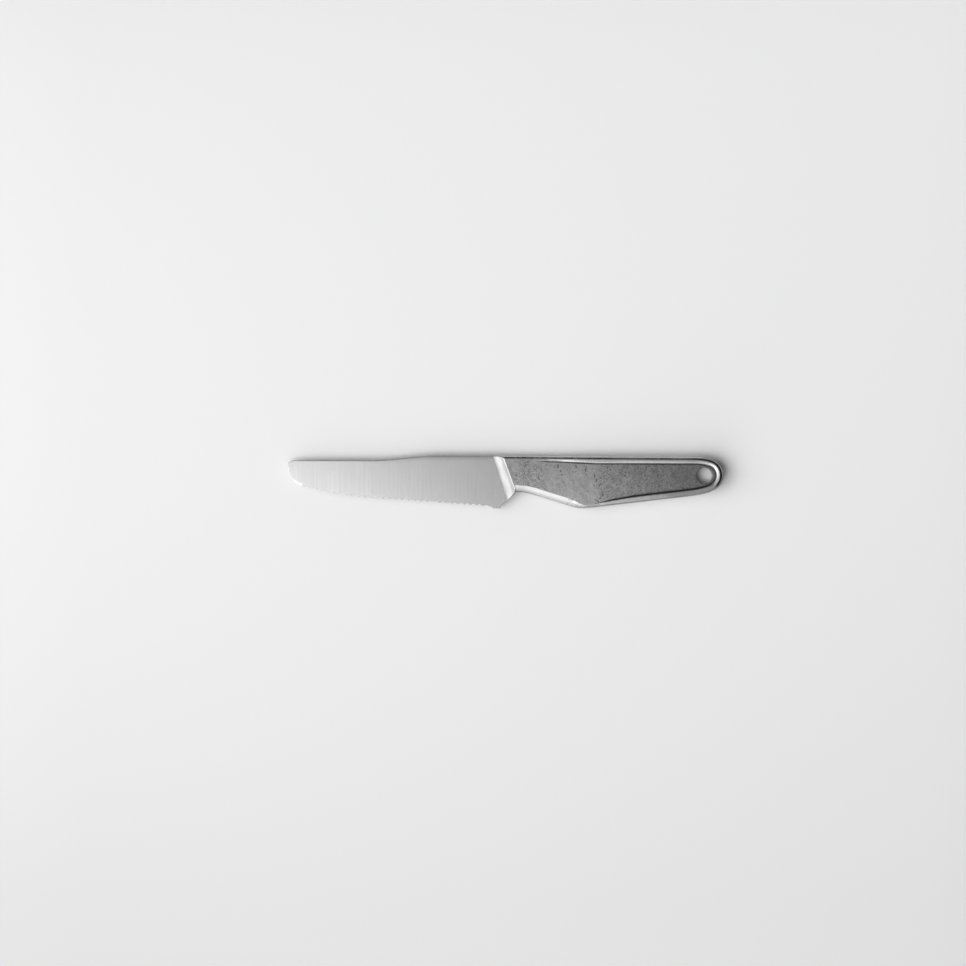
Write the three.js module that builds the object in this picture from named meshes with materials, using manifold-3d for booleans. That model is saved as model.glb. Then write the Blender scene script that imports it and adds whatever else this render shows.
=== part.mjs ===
// A serrated knife, all steel: a satin blade with a scalloped edge, a polished slanted bolster, and a handle
// whose forged web is framed by rounded rails, with a hanging hole at the butt.
// Millimetres, +Z up. The knife lies on its side: the tip points to -X and the spine to +Y.
// The pieces are drawn with x = 0 at the heel, y = 0 at the spine line of the handle and z = 0 halfway through,
// and the finished knife is then set down with the bottom centre of its box at the origin.
import * as THREE from "three";
import { mergeVertices } from "three/addons/utils/BufferGeometryUtils.js";
import Module from "manifold-3d";

const wasm = await Module();
wasm.setup();

// Overall
const bladeLength = 100; // heel to tip
const handleLength = 105; // heel to butt
const handleThickness = 8.8; // bolster crest and butt rim, on which the knife lies

// Blade outline: depths are below the spine line, lengths are from the heel or from the tip as named
const spineRearLength = 26; // heel to where the spine starts to drop
const spineDropLength = 38; // length of the spine's gentle drop
const spineDrop = 2.2; // how much lower the front of the spine lies
const tipCornerLength = 2.3; // rounded corner between spine and nose
const tipCornerDepth = 1.8;
const noseDepth = 6; // where the nose is furthest forward
const noseLead = 3.8; // how long the nose keeps straight down before it turns
const noseLength = 7; // tip to the end of the round nose
const noseEndDepth = 14.2;
const noseEndSlope = 0.3; // fall of the edge per mm where nose and belly meet
const noseEndLead = 4.2; // how long the nose takes to reach that slope
const bellyLength = 31; // curved stretch of the edge behind the nose
const bellyEndDepth = 19.75;
const toothEndDepth = 23.9; // end of the toothed edge
const heelDepth = 24.75;
const heelLandLength = 2.7; // plain flat at the heel
const heelRampLength = 3; // from the last tooth down to the heel's flat
const choilHeelLead = 4.4; // the hollow from the heel up to the handle: its pull and angle at the heel
const choilHeelAngle = 52;
const choilTopLead = 2.9; // and at the handle
const choilTopAngle = 60;

// Blade thickness
const spineThickness = 2.2; // spine at the heel
const tipThickness = 1.4; // spine at the tip
const edgeThickness = 0.45; // edge at the heel

// Teeth: scallops ground into the back face only
const toothPitch = 2.93;
const gulletDepth = 0.5; // seen from the front
const gulletRadius = 4.3;
const gulletAngle = 30; // degrees between the ground flank and the blade

// Bolster: a slanted band, measured square to its length
const bolsterWidth = 4.9;
const bolsterTilt = 20; // degrees off square
const bolsterRear = 1.1; // its rear face at the spine line, behind the heel
const bolsterCrest = 1.3; // flat along the top of the band
const bolsterEdgeRadius = 0.5; // rounded rear edge
const bolsterRoot = 0.8; // foot of its front slope that stays with the blade
const bolsterCrestEase = 1.6; // how softly the front slope leaves the crest
const bolsterToeEase = 2.2; // how softly it runs out on the blade

// Tang: a flat tongue of the blade that runs through the bolster into the web
const tangLength = 30; // behind the heel
const tangHeight = 8;
const tangThickness = 1.2;
const tangDepth = 9; // middle of the tang, below the spine line
const tangLap = 0.3; // how far it reaches into the blade to grow out of it

// Handle outline
const topFall = 0.5; // fall of the spine line along the straight of the handle
const buttRadius = 8;
const buttDepth = 9.2; // centre of the butt's arc
const buttArc = 50; // degrees of arc each side of the long axis
const buttBlend = 19; // length of the curves between the butt's arc and the straights, from the butt
const bellyCorner = 37.4; // lowest corner of the handle, behind the heel
const bellyCornerDepth = 25.15; // before rounding
const bellyCornerTangent = 4; // rounding, measured along each side
const bellyRearDepth = 19.1; // end of the belly straight, where the curve to the butt starts
const fingerDepth = 17.1; // underside behind the bolster
const fingerRiseEnd = 17.2; // end of the hollow for the finger, behind the heel
const fingerRiseDepth = 18.8;
const fingerEase = 4; // length of the hollow's lead-in at each end

// Handle section
const bolsterStep = 0.6; // from the bolster's crest down to the web and the rails behind it
const rimDepth = 2; // from the butt's rim down to the web
const railWidth = 3.8;
const railCrestInset = 1.9; // crest of a rail, in from the outer edge
const railCrestFlat = 0.3;
const railRound = 1.9; // height of a rail's rounded outer edge
const cornerWidth = 1.9; // where belly rail and finger rail meet
const fingerWidth = 3.2;
const fingerRound = 3;
const spineRimStart = 13; // where the spine rail starts to stand above the web, behind the heel
const bellyRimStart = 44; // the same on the belly rail; both stand at full height where the butt's curves start
const cornerRun = 14; // length over which the rails change width beside the belly corner

// Hanging hole
const holeDiameter = 7.6;
const holeRim = 1.1; // web left between the hole and the butt's rail
const holeDrop = 0.3; // centre below the centre of the butt's arc
const holeChamfer = 0.4;

// Joints between the pieces
const seam = 0.2; // clearance between neighbouring pieces
const tongueShare = 0.35; // depth of the web's tongue in the rail, as a share of the rail's width
const tongueThickness = 2;

// Facets
const gulletSides = 48;
const holeSides = 40;
const bladeCurveSteps = 10;
const choilSteps = 12;
const bandSteps = 6;
const bandRoundSteps = 4;
const bandSlopeSteps = 10;
const railRoundSteps = 6;
const railSlopeSteps = 5;
const railSteps = { top: 14, blend: 5, arc: 12, belly: 12, corner: 5, rise: 5, hollow: 6 };

// Working sizes
const mergeDistance = 1e-4;
const overrun = 4; // length drawn past a cut, so that the cut trims it
const far = 300; // larger than the knife
const degree = Math.PI / 180;
const restHalf = handleThickness / 2;

const { lerp, clamp, smoothstep } = THREE.MathUtils;
const point = (x, y) => new THREE.Vector2(x, y);

// Solids

function toSolid(geometry) {
  const bare = geometry.clone();
  bare.deleteAttribute("normal");
  bare.deleteAttribute("uv");
  const merged = mergeVertices(bare, mergeDistance);
  return new wasm.Manifold(
    new wasm.Mesh({
      numProp: 3,
      vertProperties: new Float32Array(merged.attributes.position.array),
      triVerts: new Uint32Array(merged.index.array),
    }),
  );
}

function toGeometry(solid) {
  const { numProp, vertProperties, triVerts } = solid.getMesh();
  const geometry = new THREE.BufferGeometry();
  geometry.setAttribute("position", new THREE.BufferAttribute(vertProperties, numProp));
  geometry.setIndex(new THREE.BufferAttribute(triVerts, 1));
  geometry.computeVertexNormals();
  return geometry;
}

function meshData(positions, index) {
  const geometry = new THREE.BufferGeometry();
  geometry.setAttribute("position", new THREE.Float32BufferAttribute(positions, 3));
  geometry.setIndex(index);
  return geometry;
}

// A plate with the given outline, as thick on both sides of mid-plane as halfAt(x, y) says.
function plate(outline, halfAt) {
  const rim = THREE.ShapeUtils.isClockWise(outline) ? [...outline].reverse() : outline;
  const count = rim.length;
  const face = (side) => rim.flatMap(({ x, y }) => [x, y, side * halfAt(x, y)]);
  const index = [];
  for (const [a, b, c] of THREE.ShapeUtils.triangulateShape(rim, [])) {
    index.push(a, b, c, count + a, count + c, count + b);
  }
  for (let i = 0; i < count; i++) {
    const next = (i + 1) % count;
    index.push(count + i, count + next, next, count + i, next, i);
  }
  return toSolid(meshData([...face(1), ...face(-1)], index));
}

// A solid through rings of points, each ring the mirror of itself about mid-plane: the upper points in order,
// then the lower ones back again. The rings turn counter-clockwise about the way that they follow each other.
function loft(rings) {
  const count = rings[0].length;
  const last = (rings.length - 1) * count;
  const index = [];
  for (let start = 0; start < last; start += count) {
    for (let i = 0; i < count; i++) {
      const a = start + i;
      const b = start + ((i + 1) % count);
      index.push(a, b, b + count, a, b + count, a + count);
    }
  }
  for (let i = 0; i < count / 2 - 1; i++) {
    const mirror = count - 1 - i;
    index.push(i, mirror - 1, i + 1, i, mirror, mirror - 1);
    index.push(last + i, last + i + 1, last + mirror - 1, last + i, last + mirror - 1, last + mirror);
  }
  return toSolid(meshData(rings.flat().flatMap((p) => p.toArray()), index));
}

function box(low, high) {
  const size = new THREE.Vector3().subVectors(high, low);
  const middle = new THREE.Vector3().addVectors(low, high).multiplyScalar(0.5);
  return new THREE.BoxGeometry(size.x, size.y, size.z).translate(middle.x, middle.y, middle.z);
}

const towards = (from, to) => point(to.x - from.x, to.y - from.y).normalize();
const onward = (from, direction, distance) => from.clone().addScaledVector(direction, distance);
const heading = (angle) => point(Math.cos(angle * degree), Math.sin(angle * degree));

// Where two straight lines meet, each given by a point and a direction.
function meet(p, along, q, across) {
  const gap = point(q.x - p.x, q.y - p.y);
  const run = gap.cross(across) / along.cross(across);
  return point(p.x + along.x * run, p.y + along.y * run);
}

// Bolster frame: u runs down the band from the spine line, v across it towards the butt, from its rear face

const tilt = bolsterTilt * degree;
const downBand = point(Math.sin(tilt), -Math.cos(tilt));
const acrossBand = point(Math.cos(tilt), Math.sin(tilt));

function bandPoint(u, v) {
  return point(bolsterRear + downBand.x * u + acrossBand.x * v, downBand.y * u + acrossBand.y * v);
}

// x of the bolster's rear face at a height y.
const rearFaceX = (y) => bolsterRear - y * Math.tan(tilt);

// Everything between two distances across the band.
function acrossSlab(from, to) {
  const slab = box(new THREE.Vector3(from, -far, -far), new THREE.Vector3(to, far, far));
  return toSolid(slab.rotateZ(tilt).translate(bolsterRear, 0, 0));
}

// Blade

const edgeFall = (spineThickness - edgeThickness) / 2 / heelDepth;
const tipTaper = ((spineThickness - tipThickness) / 2 - edgeFall * spineDrop) / bladeLength;
const bladeHalf = (x, y) => spineThickness / 2 + edgeFall * y + tipTaper * x;

const noseEnd = point(noseLength - bladeLength, -noseEndDepth);
const bellyEnd = point(noseEnd.x + bellyLength, -bellyEndDepth);
const toothEnd = point(-heelLandLength - heelRampLength, -toothEndDepth);

function bellyCurve() {
  const edgeSlope = (toothEnd.y - bellyEnd.y) / (toothEnd.x - bellyEnd.x);
  const third = bellyLength / 3;
  return new THREE.CubicBezierCurve(
    noseEnd,
    point(noseEnd.x + third, noseEnd.y - third * noseEndSlope),
    point(bellyEnd.x - third, bellyEnd.y - third * edgeSlope),
    bellyEnd,
  );
}

function choilCurve() {
  const heel = point(0, -heelDepth);
  const top = point(rearFaceX(-fingerDepth), -fingerDepth);
  return new THREE.CubicBezierCurve(
    heel,
    onward(heel, heading(choilHeelAngle), choilHeelLead),
    onward(top, heading(choilTopAngle), -choilTopLead),
    top,
  );
}

function bladeOutline() {
  const shape = new THREE.Shape();
  const dropStart = -spineRearLength;
  const dropEnd = dropStart - spineDropLength;
  const dropMiddle = (dropStart + dropEnd) / 2;
  shape.moveTo(bolsterRear, 0);
  shape.lineTo(dropStart, 0);
  shape.bezierCurveTo(dropMiddle, 0, dropMiddle, -spineDrop, dropEnd, -spineDrop);
  shape.lineTo(tipCornerLength - bladeLength, -spineDrop);
  const cornerEnd = -spineDrop - tipCornerDepth;
  shape.quadraticCurveTo(-bladeLength, -spineDrop, -bladeLength, cornerEnd);
  shape.lineTo(-bladeLength, -noseDepth);
  shape.bezierCurveTo(
    -bladeLength,
    -noseDepth - noseLead,
    noseEnd.x - noseEndLead,
    noseEnd.y + noseEndLead * noseEndSlope,
    noseEnd.x,
    noseEnd.y,
  );
  const belly = bellyCurve();
  shape.bezierCurveTo(belly.v1.x, belly.v1.y, belly.v2.x, belly.v2.y, bellyEnd.x, bellyEnd.y);
  shape.lineTo(toothEnd.x, toothEnd.y);
  shape.lineTo(-heelLandLength, -heelDepth);
  shape.lineTo(0, -heelDepth);
  const choil = choilCurve();
  shape.bezierCurveTo(choil.v1.x, choil.v1.y, choil.v2.x, choil.v2.y, choil.v3.x, choil.v3.y);
  return shape.getPoints(bladeCurveSteps);
}

// One grinding cylinder for each tooth, square to the edge and leaning over the back face.
function gullets() {
  const edge = new THREE.CurvePath();
  edge.add(bellyCurve());
  edge.add(new THREE.LineCurve(bellyEnd, toothEnd));
  const teeth = Math.floor(edge.getLength() / toothPitch);
  const spare = edge.getLength() - teeth * toothPitch;
  const lean = gulletAngle * degree;
  const reach = gulletRadius * 4;
  const cuts = [];
  for (let tooth = 0; tooth < teeth; tooth++) {
    const place = (spare + (tooth + 0.5) * toothPitch) / edge.getLength();
    const { x, y } = edge.getPointAt(place);
    const along = edge.getTangentAt(place);
    const inward = new THREE.Vector3(-along.y, along.x, 0);
    const up = new THREE.Vector3(0, 0, 1);
    const axis = inward.clone().multiplyScalar(Math.cos(lean)).addScaledVector(up, -Math.sin(lean));
    const away = inward.clone().multiplyScalar(Math.sin(lean)).addScaledVector(up, Math.cos(lean));
    const centre = new THREE.Vector3(x, y, bladeHalf(x, y))
      .addScaledVector(inward, gulletDepth)
      .addScaledVector(away, -gulletRadius);
    const turn = new THREE.Quaternion().setFromUnitVectors(new THREE.Vector3(0, 1, 0), axis);
    const cylinder = new THREE.CylinderGeometry(gulletRadius, gulletRadius, reach, gulletSides);
    cylinder.applyQuaternion(turn).translate(centre.x, centre.y, centre.z);
    cuts.push(toSolid(cylinder));
  }
  return cuts;
}

// The blade ends square to the band, on the foot of the bolster's front slope.
const bladeEnd = bolsterRoot - bolsterWidth;

function tang(clearance) {
  const height = tangHeight / 2 + clearance;
  const half = tangThickness / 2 + clearance;
  const low = new THREE.Vector3(-far, -tangDepth - height, -half);
  const high = new THREE.Vector3(tangLength + clearance, -tangDepth + height, half);
  return toSolid(box(low, high)).intersect(acrossSlab(bladeEnd - tangLap, far));
}

// Bolster

// Upper half of the band's section from its rear face to its toe: pairs of v and height.
function bandSection(toeHeight) {
  const section = [];
  for (let i = 0; i <= bandRoundSteps; i++) {
    const turn = (i / bandRoundSteps) * 90 * degree;
    const v = -bolsterEdgeRadius * (1 - Math.cos(turn));
    section.push([v, restHalf - bolsterEdgeRadius * (1 - Math.sin(turn))]);
  }
  const slopeStart = bolsterEdgeRadius + bolsterCrest;
  for (let i = 0; i <= bandSlopeSteps; i++) {
    const share = i / bandSlopeSteps;
    const height = (1 - share ** bolsterCrestEase) ** bolsterToeEase;
    section.push([-lerp(slopeStart, bolsterWidth, share), lerp(toeHeight, restHalf, height)]);
  }
  return section;
}

// The whole band with its foot, trimmed to the spine line and to the choil.
function bolsterBand() {
  const length = heelDepth / Math.cos(tilt) + 2 * overrun;
  const rings = [];
  for (let i = 0; i <= bandSteps; i++) {
    const u = -overrun + (length * i) / bandSteps;
    const toe = bandPoint(u, -bolsterWidth);
    const upper = bandSection(bladeHalf(toe.x, toe.y)).map(([v, z]) => [bandPoint(u, v), z]);
    const raise = (side) => ([p, z]) => new THREE.Vector3(p.x, p.y, side * z);
    rings.push([...upper.map(raise(1)), ...upper.map(raise(-1)).reverse()]);
  }
  const choil = choilCurve().getPoints(choilSteps);
  const above = [point(-far, 0), point(far, 0), point(far, -fingerDepth)];
  const trim = [...above, ...choil.reverse(), point(-far, -heelDepth)];
  return loft(rings).intersect(plate(trim, () => 2 * restHalf));
}

// Handle outline, clockwise from the bolster's top: each rail has its own stretches

const topRear = point(handleLength - buttBlend, -topFall);
const bellyRear = point(handleLength - buttBlend, -bellyRearDepth);
const buttCentre = point(handleLength - buttRadius, -buttDepth);
const bellyPeak = point(bellyCorner, -bellyCornerDepth);
const fingerRise = point(fingerRiseEnd, -fingerRiseDepth);
const fingerFront = point(rearFaceX(-fingerDepth), -fingerDepth);

function handleStretches() {
  const top = point(-overrun, 0);
  const halfArc = buttArc * degree;
  const buttCurve = new THREE.EllipseCurve(
    buttCentre.x, buttCentre.y, buttRadius, buttRadius, halfArc, -halfArc, true,
  );
  const arcEnd = (side) => onward(buttCentre, heading(side * buttArc), buttRadius);
  const arcWay = (side) => heading(side * buttArc - 90);
  const blend = (from, fromWay, to, toWay) =>
    new THREE.QuadraticBezierCurve(from, meet(from, fromWay, to, toWay), to);
  const bellyWay = towards(bellyRear, bellyPeak);
  const fingerWay = towards(bellyPeak, fingerRise);
  const cornerStart = onward(bellyPeak, bellyWay, -bellyCornerTangent);
  const cornerEnd = onward(bellyPeak, fingerWay, bellyCornerTangent);
  const level = point(-1, 0);
  const hollow = new THREE.CubicBezierCurve(
    fingerRise,
    onward(fingerRise, fingerWay, fingerEase),
    onward(fingerFront, level, -fingerEase),
    fingerFront,
  );
  return {
    spine: [
      [new THREE.LineCurve(top, topRear), railSteps.top],
      [blend(topRear, towards(top, topRear), arcEnd(1), arcWay(1)), railSteps.blend],
    ],
    butt: [
      [buttCurve, railSteps.arc],
    ],
    belly: [
      [blend(arcEnd(-1), arcWay(-1), bellyRear, bellyWay), railSteps.blend],
      [new THREE.LineCurve(bellyRear, cornerStart), railSteps.belly],
    ],
    finger: [
      [new THREE.QuadraticBezierCurve(cornerStart, bellyPeak, cornerEnd), railSteps.corner],
      [new THREE.LineCurve(cornerEnd, fingerRise), railSteps.rise],
      [hollow, railSteps.hollow],
      [new THREE.LineCurve(fingerFront, onward(fingerFront, level, overrun)), 1],
    ],
  };
}

// Handle section

const webHalf = (x) => {
  const share = (x - bolsterRear) / (handleLength - bolsterRear);
  return restHalf - lerp(bolsterStep, rimDepth, share);
};

// How far a rail has risen above the web, from 0 to 1.
const rimRise = (x, start) => Math.sin(clamp((x - start) / (topRear.x - start), 0, 1) * 90 * degree);

// Width, crest position, height of the outer rounding, and rise of each rail at a place along the handle.
const fullRail = { width: railWidth, crest: railCrestInset, round: railRound };
const cornerFront = bellyCorner + bellyCornerTangent;
const railSizes = {
  spine: ({ x }) => ({ ...fullRail, rise: rimRise(x, spineRimStart) }),
  butt: () => ({ ...fullRail, rise: 1 }),
  belly: ({ x }) => {
    const share = smoothstep(x, cornerFront, cornerFront + cornerRun);
    return {
      width: lerp(cornerWidth, railWidth, share),
      crest: lerp(cornerWidth - 2 * railCrestFlat, railCrestInset, share),
      round: railRound,
      rise: rimRise(x, bellyRimStart),
    };
  },
  finger: ({ x }) => {
    const share = smoothstep(x, cornerFront - cornerRun, cornerFront);
    const width = lerp(fingerWidth, cornerWidth, share);
    return { width, crest: width - 2 * railCrestFlat, round: lerp(fingerRound, railRound, share), rise: 0 };
  },
};

// Places along a rail, each with its outer point, the way inward and its sizes.
function railStations(name) {
  const stations = [];
  for (const [curve, steps] of handleStretches()[name]) {
    for (let i = stations.length ? 1 : 0; i <= steps; i++) {
      const outer = curve.getPoint(i / steps);
      const along = curve.getTangent(i / steps);
      const inward = point(along.y, -along.x);
      stations.push({ outer, inward, ...railSizes[name](outer) });
    }
  }
  return stations;
}

// Upper half of a rail's section from its outer side to the web: pairs of distance inward and height.
function railSection({ outer, width, crest, round, rise }) {
  const web = webHalf(outer.x);
  const top = lerp(web, restHalf, rise);
  const section = [];
  for (let i = 0; i <= railRoundSteps; i++) {
    const turn = (i / railRoundSteps) * 90 * degree;
    section.push([crest * (1 - Math.cos(turn)), top - round * (1 - Math.sin(turn))]);
  }
  const slopeStart = crest + railCrestFlat;
  for (let i = 0; i <= railSlopeSteps; i++) {
    const share = i / railSlopeSteps;
    section.push([lerp(slopeStart, width, share), lerp(top, web, smoothstep(share, 0, 1))]);
  }
  return section;
}

function railRing(station) {
  const upper = railSection(station).map(([d, z]) => [onward(station.outer, station.inward, d), z]);
  const raise = (side) => ([p, z]) => new THREE.Vector3(p.x, p.y, side * z);
  return [...upper.map(raise(1)), ...upper.map(raise(-1)).reverse()];
}

const railNames = ["spine", "butt", "belly", "finger"];
const stationsOf = Object.fromEntries(railNames.map((name) => [name, railStations(name)]));

// The closed line inside the rails, at a distance inward that each station gives.
function innerLine(distanceAt) {
  const line = railNames.flatMap((name) => stationsOf[name].slice(0, -1));
  line.push(stationsOf.finger.at(-1));
  return line.map((station) => onward(station.outer, station.inward, distanceAt(station)));
}

const tongueReach = ({ width }) => width * (1 - tongueShare);

function handleRail(name) {
  const groove = plate(
    innerLine((station) => tongueReach(station) - seam),
    () => tongueThickness / 2 + seam,
  );
  return loft(stationsOf[name].map(railRing)).subtract(groove).subtract(acrossSlab(-far, seam));
}

function hangingHole() {
  const radius = holeDiameter / 2;
  const fromButt = railWidth + seam + holeRim + radius;
  const centre = point(handleLength - fromButt, -buttDepth - holeDrop);
  const wall = webHalf(centre.x) - holeChamfer;
  const flare = radius + overrun;
  const profile = [
    point(0, -wall - overrun),
    point(flare, -wall - overrun),
    point(radius, -wall),
    point(radius, wall),
    point(flare, wall + overrun),
    point(0, wall + overrun),
  ];
  const cutter = new THREE.LatheGeometry(profile, holeSides);
  return toSolid(cutter.rotateX(90 * degree).translate(centre.x, centre.y, 0));
}

// Pieces

function makeBlade() {
  let blade = plate(bladeOutline(), bladeHalf).add(bolsterBand());
  blade = blade.intersect(acrossSlab(-far, bladeEnd));
  for (const gullet of gullets()) {
    blade = blade.subtract(gullet);
  }
  return blade.add(tang(0));
}

function makeBolster() {
  return bolsterBand()
    .intersect(acrossSlab(bladeEnd + seam, 0))
    .subtract(tang(seam));
}

function makeWeb() {
  const panel = plate(
    innerLine(({ width }) => width + seam),
    webHalf,
  );
  const tongue = plate(innerLine(tongueReach), () => tongueThickness / 2);
  return panel.add(tongue).subtract(hangingHole()).subtract(tang(seam)).subtract(acrossSlab(-far, seam));
}

// Finishes, and the knife

const satinSteel = new THREE.MeshStandardMaterial({ color: 0xc9c9c9, roughness: 0.38, metalness: 1 });
const polishedSteel = new THREE.MeshStandardMaterial({ color: 0xdadada, roughness: 0.16, metalness: 1 });
const railSteel = new THREE.MeshStandardMaterial({ color: 0xa8a8a8, roughness: 0.3, metalness: 1 });
const forgedSkin = new THREE.MeshStandardMaterial({ color: 0x808080, roughness: 0.62, metalness: 0.8 });

function piece(name, solid, material) {
  const mesh = new THREE.Mesh(toGeometry(solid), material);
  mesh.name = name;
  return mesh;
}

const handle = new THREE.Group();
handle.add(
  piece("handle_web", makeWeb(), forgedSkin),
  piece("spine_rail", handleRail("spine"), railSteel),
  piece("butt_loop", handleRail("butt"), railSteel),
  piece("belly_rail", handleRail("belly"), railSteel),
  piece("finger_rail", handleRail("finger"), polishedSteel),
);

const drawn = new THREE.Group();
drawn.add(piece("blade", makeBlade(), satinSteel), piece("bolster", makeBolster(), polishedSteel), handle);

const extent = new THREE.Box3().setFromObject(drawn);
const middle = extent.getCenter(new THREE.Vector3());
drawn.position.set(-middle.x, -middle.y, -extent.min.z);

const knife = new THREE.Group();
knife.add(drawn);

export default knife;
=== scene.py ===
import math

import bmesh
import bpy
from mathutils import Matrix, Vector, noise
from mathutils.geometry import interpolate_bezier


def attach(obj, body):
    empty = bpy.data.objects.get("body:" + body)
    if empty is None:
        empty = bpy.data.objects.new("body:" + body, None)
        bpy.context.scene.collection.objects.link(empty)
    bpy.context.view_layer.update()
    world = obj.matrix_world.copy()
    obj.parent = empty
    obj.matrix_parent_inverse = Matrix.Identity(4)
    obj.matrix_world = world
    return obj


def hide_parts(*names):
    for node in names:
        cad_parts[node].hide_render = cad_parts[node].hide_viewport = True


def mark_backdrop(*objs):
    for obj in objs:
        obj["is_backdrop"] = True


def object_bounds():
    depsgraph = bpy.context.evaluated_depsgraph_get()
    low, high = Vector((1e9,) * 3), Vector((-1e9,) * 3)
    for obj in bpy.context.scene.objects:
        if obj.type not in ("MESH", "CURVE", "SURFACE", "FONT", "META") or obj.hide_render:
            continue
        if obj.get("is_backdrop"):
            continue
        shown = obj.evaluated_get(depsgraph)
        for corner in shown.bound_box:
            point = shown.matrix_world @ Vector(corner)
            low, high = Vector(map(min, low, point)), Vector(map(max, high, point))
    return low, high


# A serrated knife, forged all in steel, lying on its side and seen from straight above. Shapes are drawn in
# millimetres: x = 0 at the heel, y = 0 at the spine line, z = 0 halfway through the knife.

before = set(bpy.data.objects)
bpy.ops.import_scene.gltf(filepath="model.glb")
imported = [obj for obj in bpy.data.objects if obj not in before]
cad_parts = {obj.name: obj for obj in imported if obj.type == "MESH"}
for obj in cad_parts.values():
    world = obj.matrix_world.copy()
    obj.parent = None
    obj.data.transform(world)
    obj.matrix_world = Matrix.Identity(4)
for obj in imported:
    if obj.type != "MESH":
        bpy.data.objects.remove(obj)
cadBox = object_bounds()
print("frame loaded:", ", ".join(sorted(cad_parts)))


# from the drawing to the part's frame

drawn = {
    "bladeLength": 100.0,  # tip to heel, which sets where x = 0 lies in the frame
    "mmToM": 0.001,
}
heelX = cadBox[0][0] + drawn["bladeLength"] * drawn["mmToM"]
spineY = cadBox[1][1]
middleZ = (cadBox[0][2] + cadBox[1][2]) / 2


def place(x, y, z):
    scale = drawn["mmToM"]
    return Vector((heelX + x * scale, spineY + y * scale, middleZ + z * scale))


def lerp(a, b, t):
    return a + (b - a) * t


def clamp(t):
    return min(max(t, 0.0), 1.0)


def ease(t):
    t = clamp(t)
    return t * t * (3.0 - 2.0 * t)


def grow(value, start, end):  # eased, from 0 at start to 1 at end
    return ease((value - start) / (end - start))


def evenly(count, first=0):  # even shares of a whole, up to 1
    return [i / count for i in range(first, count + 1)]


def quarter(share):  # that share of a quarter turn
    return math.radians(90.0 * share)


def heading(degrees):
    turn = math.radians(degrees)
    return Vector((math.cos(turn), math.sin(turn)))


# curves in the drawing, as lists of 2-D points

def lineOf(a, b, steps):
    return [a.lerp(b, t) for t in evenly(steps)]


def bendOf(a, pull, b, steps):  # a quadratic curve
    return [a.lerp(pull, t).lerp(pull.lerp(b, t), t) for t in evenly(steps)]


def curveOf(a, pullA, pullB, b, steps):
    return [Vector(p) for p in interpolate_bezier(a, pullA, pullB, b, steps + 1)]


def arcOf(centre, radius, fromDegrees, toDegrees, steps):
    return [centre + heading(lerp(fromDegrees, toDegrees, t)) * radius for t in evenly(steps)]


def joined(*stretches):  # end to end, without the points that two of them share
    path = list(stretches[0])
    for stretch in stretches[1:]:
        path += stretch[1:]
    return path


def meeting(p, along, q, across):  # where two straight lines cross
    gap = q - p
    run = (gap.x * across.y - gap.y * across.x) / (along.x * across.y - along.y * across.x)
    return p + along * run


def lengthsAlong(path):
    total = [0.0]
    for a, b in zip(path, path[1:]):
        total.append(total[-1] + (b - a).length)
    return total


def pointsAlong(path, shares):  # shares of the whole length, in rising order
    lengths = lengthsAlong(path)
    found, k = [], 0
    for share in shares:
        goal = share * lengths[-1]
        while k < len(path) - 2 and lengths[k + 1] < goal:
            k += 1
        step = lengths[k + 1] - lengths[k]
        found.append(path[k].lerp(path[k + 1], clamp((goal - lengths[k]) / step if step else 0.0)))
    return found


# meshes: a point is x, y, z and, where the finish needs them, its wear with painted light and shade, and its
# dullness with painted shade

meshRules = {"weld": 2e-7, "smallest": 1e-8, "sharpAngle": 38.0, "crispAngle": 24.0}  # metres and degrees


def addSheet(bm, rows, closed=False):
    wearAndPaintedLight = bm.verts.layers.float.get("wearAndPaintedLight") or bm.verts.layers.float.new("wearAndPaintedLight")
    paintedShadeAndDull = bm.verts.layers.float.get("paintedShadeAndDull") or bm.verts.layers.float.new("paintedShadeAndDull")
    made = []
    for row in rows:
        line = []
        for point in row:
            vert = bm.verts.new(place(*point[:3]))
            vert[wearAndPaintedLight] = point[3] if len(point) > 3 else 0.0
            vert[paintedShadeAndDull] = point[4] if len(point) > 4 else 0.0
            line.append(vert)
        made.append(line)
    if closed:
        made.append(made[0])
    for a, b in zip(made, made[1:]):
        for i in range(len(a) - 1):
            bm.faces.new((a[i], a[i + 1], b[i + 1], b[i]))


def addRings(bm, rings):  # a closed body through rings that mirror themselves about the middle plane
    addSheet(bm, [ring + ring[:1] for ring in rings])
    for ring in (rings[0], rings[-1]):
        half = len(ring) // 2
        addSheet(bm, [ring[:half], ring[:half - 1:-1]])


def mirrored(upper):  # upper points out and lower points back, as one ring
    return upper + [(p[0], p[1], -p[2], *p[3:]) for p in reversed(upper)]


def finishPiece(bm, name, node, slot, material, sharpAngle=meshRules["sharpAngle"]):
    bmesh.ops.remove_doubles(bm, verts=bm.verts, dist=meshRules["weld"])
    bmesh.ops.dissolve_degenerate(bm, edges=bm.edges, dist=meshRules["smallest"])
    bmesh.ops.recalc_face_normals(bm, faces=bm.faces)
    mesh = bpy.data.meshes.new(name)
    bm.to_mesh(mesh)
    bm.free()
    mesh.shade_smooth()
    mesh.set_sharp_from_angle(angle=math.radians(sharpAngle))
    mesh.materials.append(material)
    piece = bpy.data.objects.new(name, mesh)
    bpy.context.scene.collection.objects.link(piece)
    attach(piece, "root")
    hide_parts(node)
    print("piece made:", name, len(mesh.polygons), "faces")
    return piece


def ringedPiece(rings, *finish):  # the rest is what finishPiece asks for
    bm = bmesh.new()
    addRings(bm, rings)
    return finishPiece(bm, *finish)


# materials

noiseSpan = (0.3, 0.7)  # most of a noise lies between these
patchBorder = {"ragged": 1.2, "from": 0.9, "to": 1.5}  # shares of its reach over which a patch fades out
markBorder = {"ragged": 1.5, "from": 0.7, "to": 1.25}  # the same for a small mark


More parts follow.
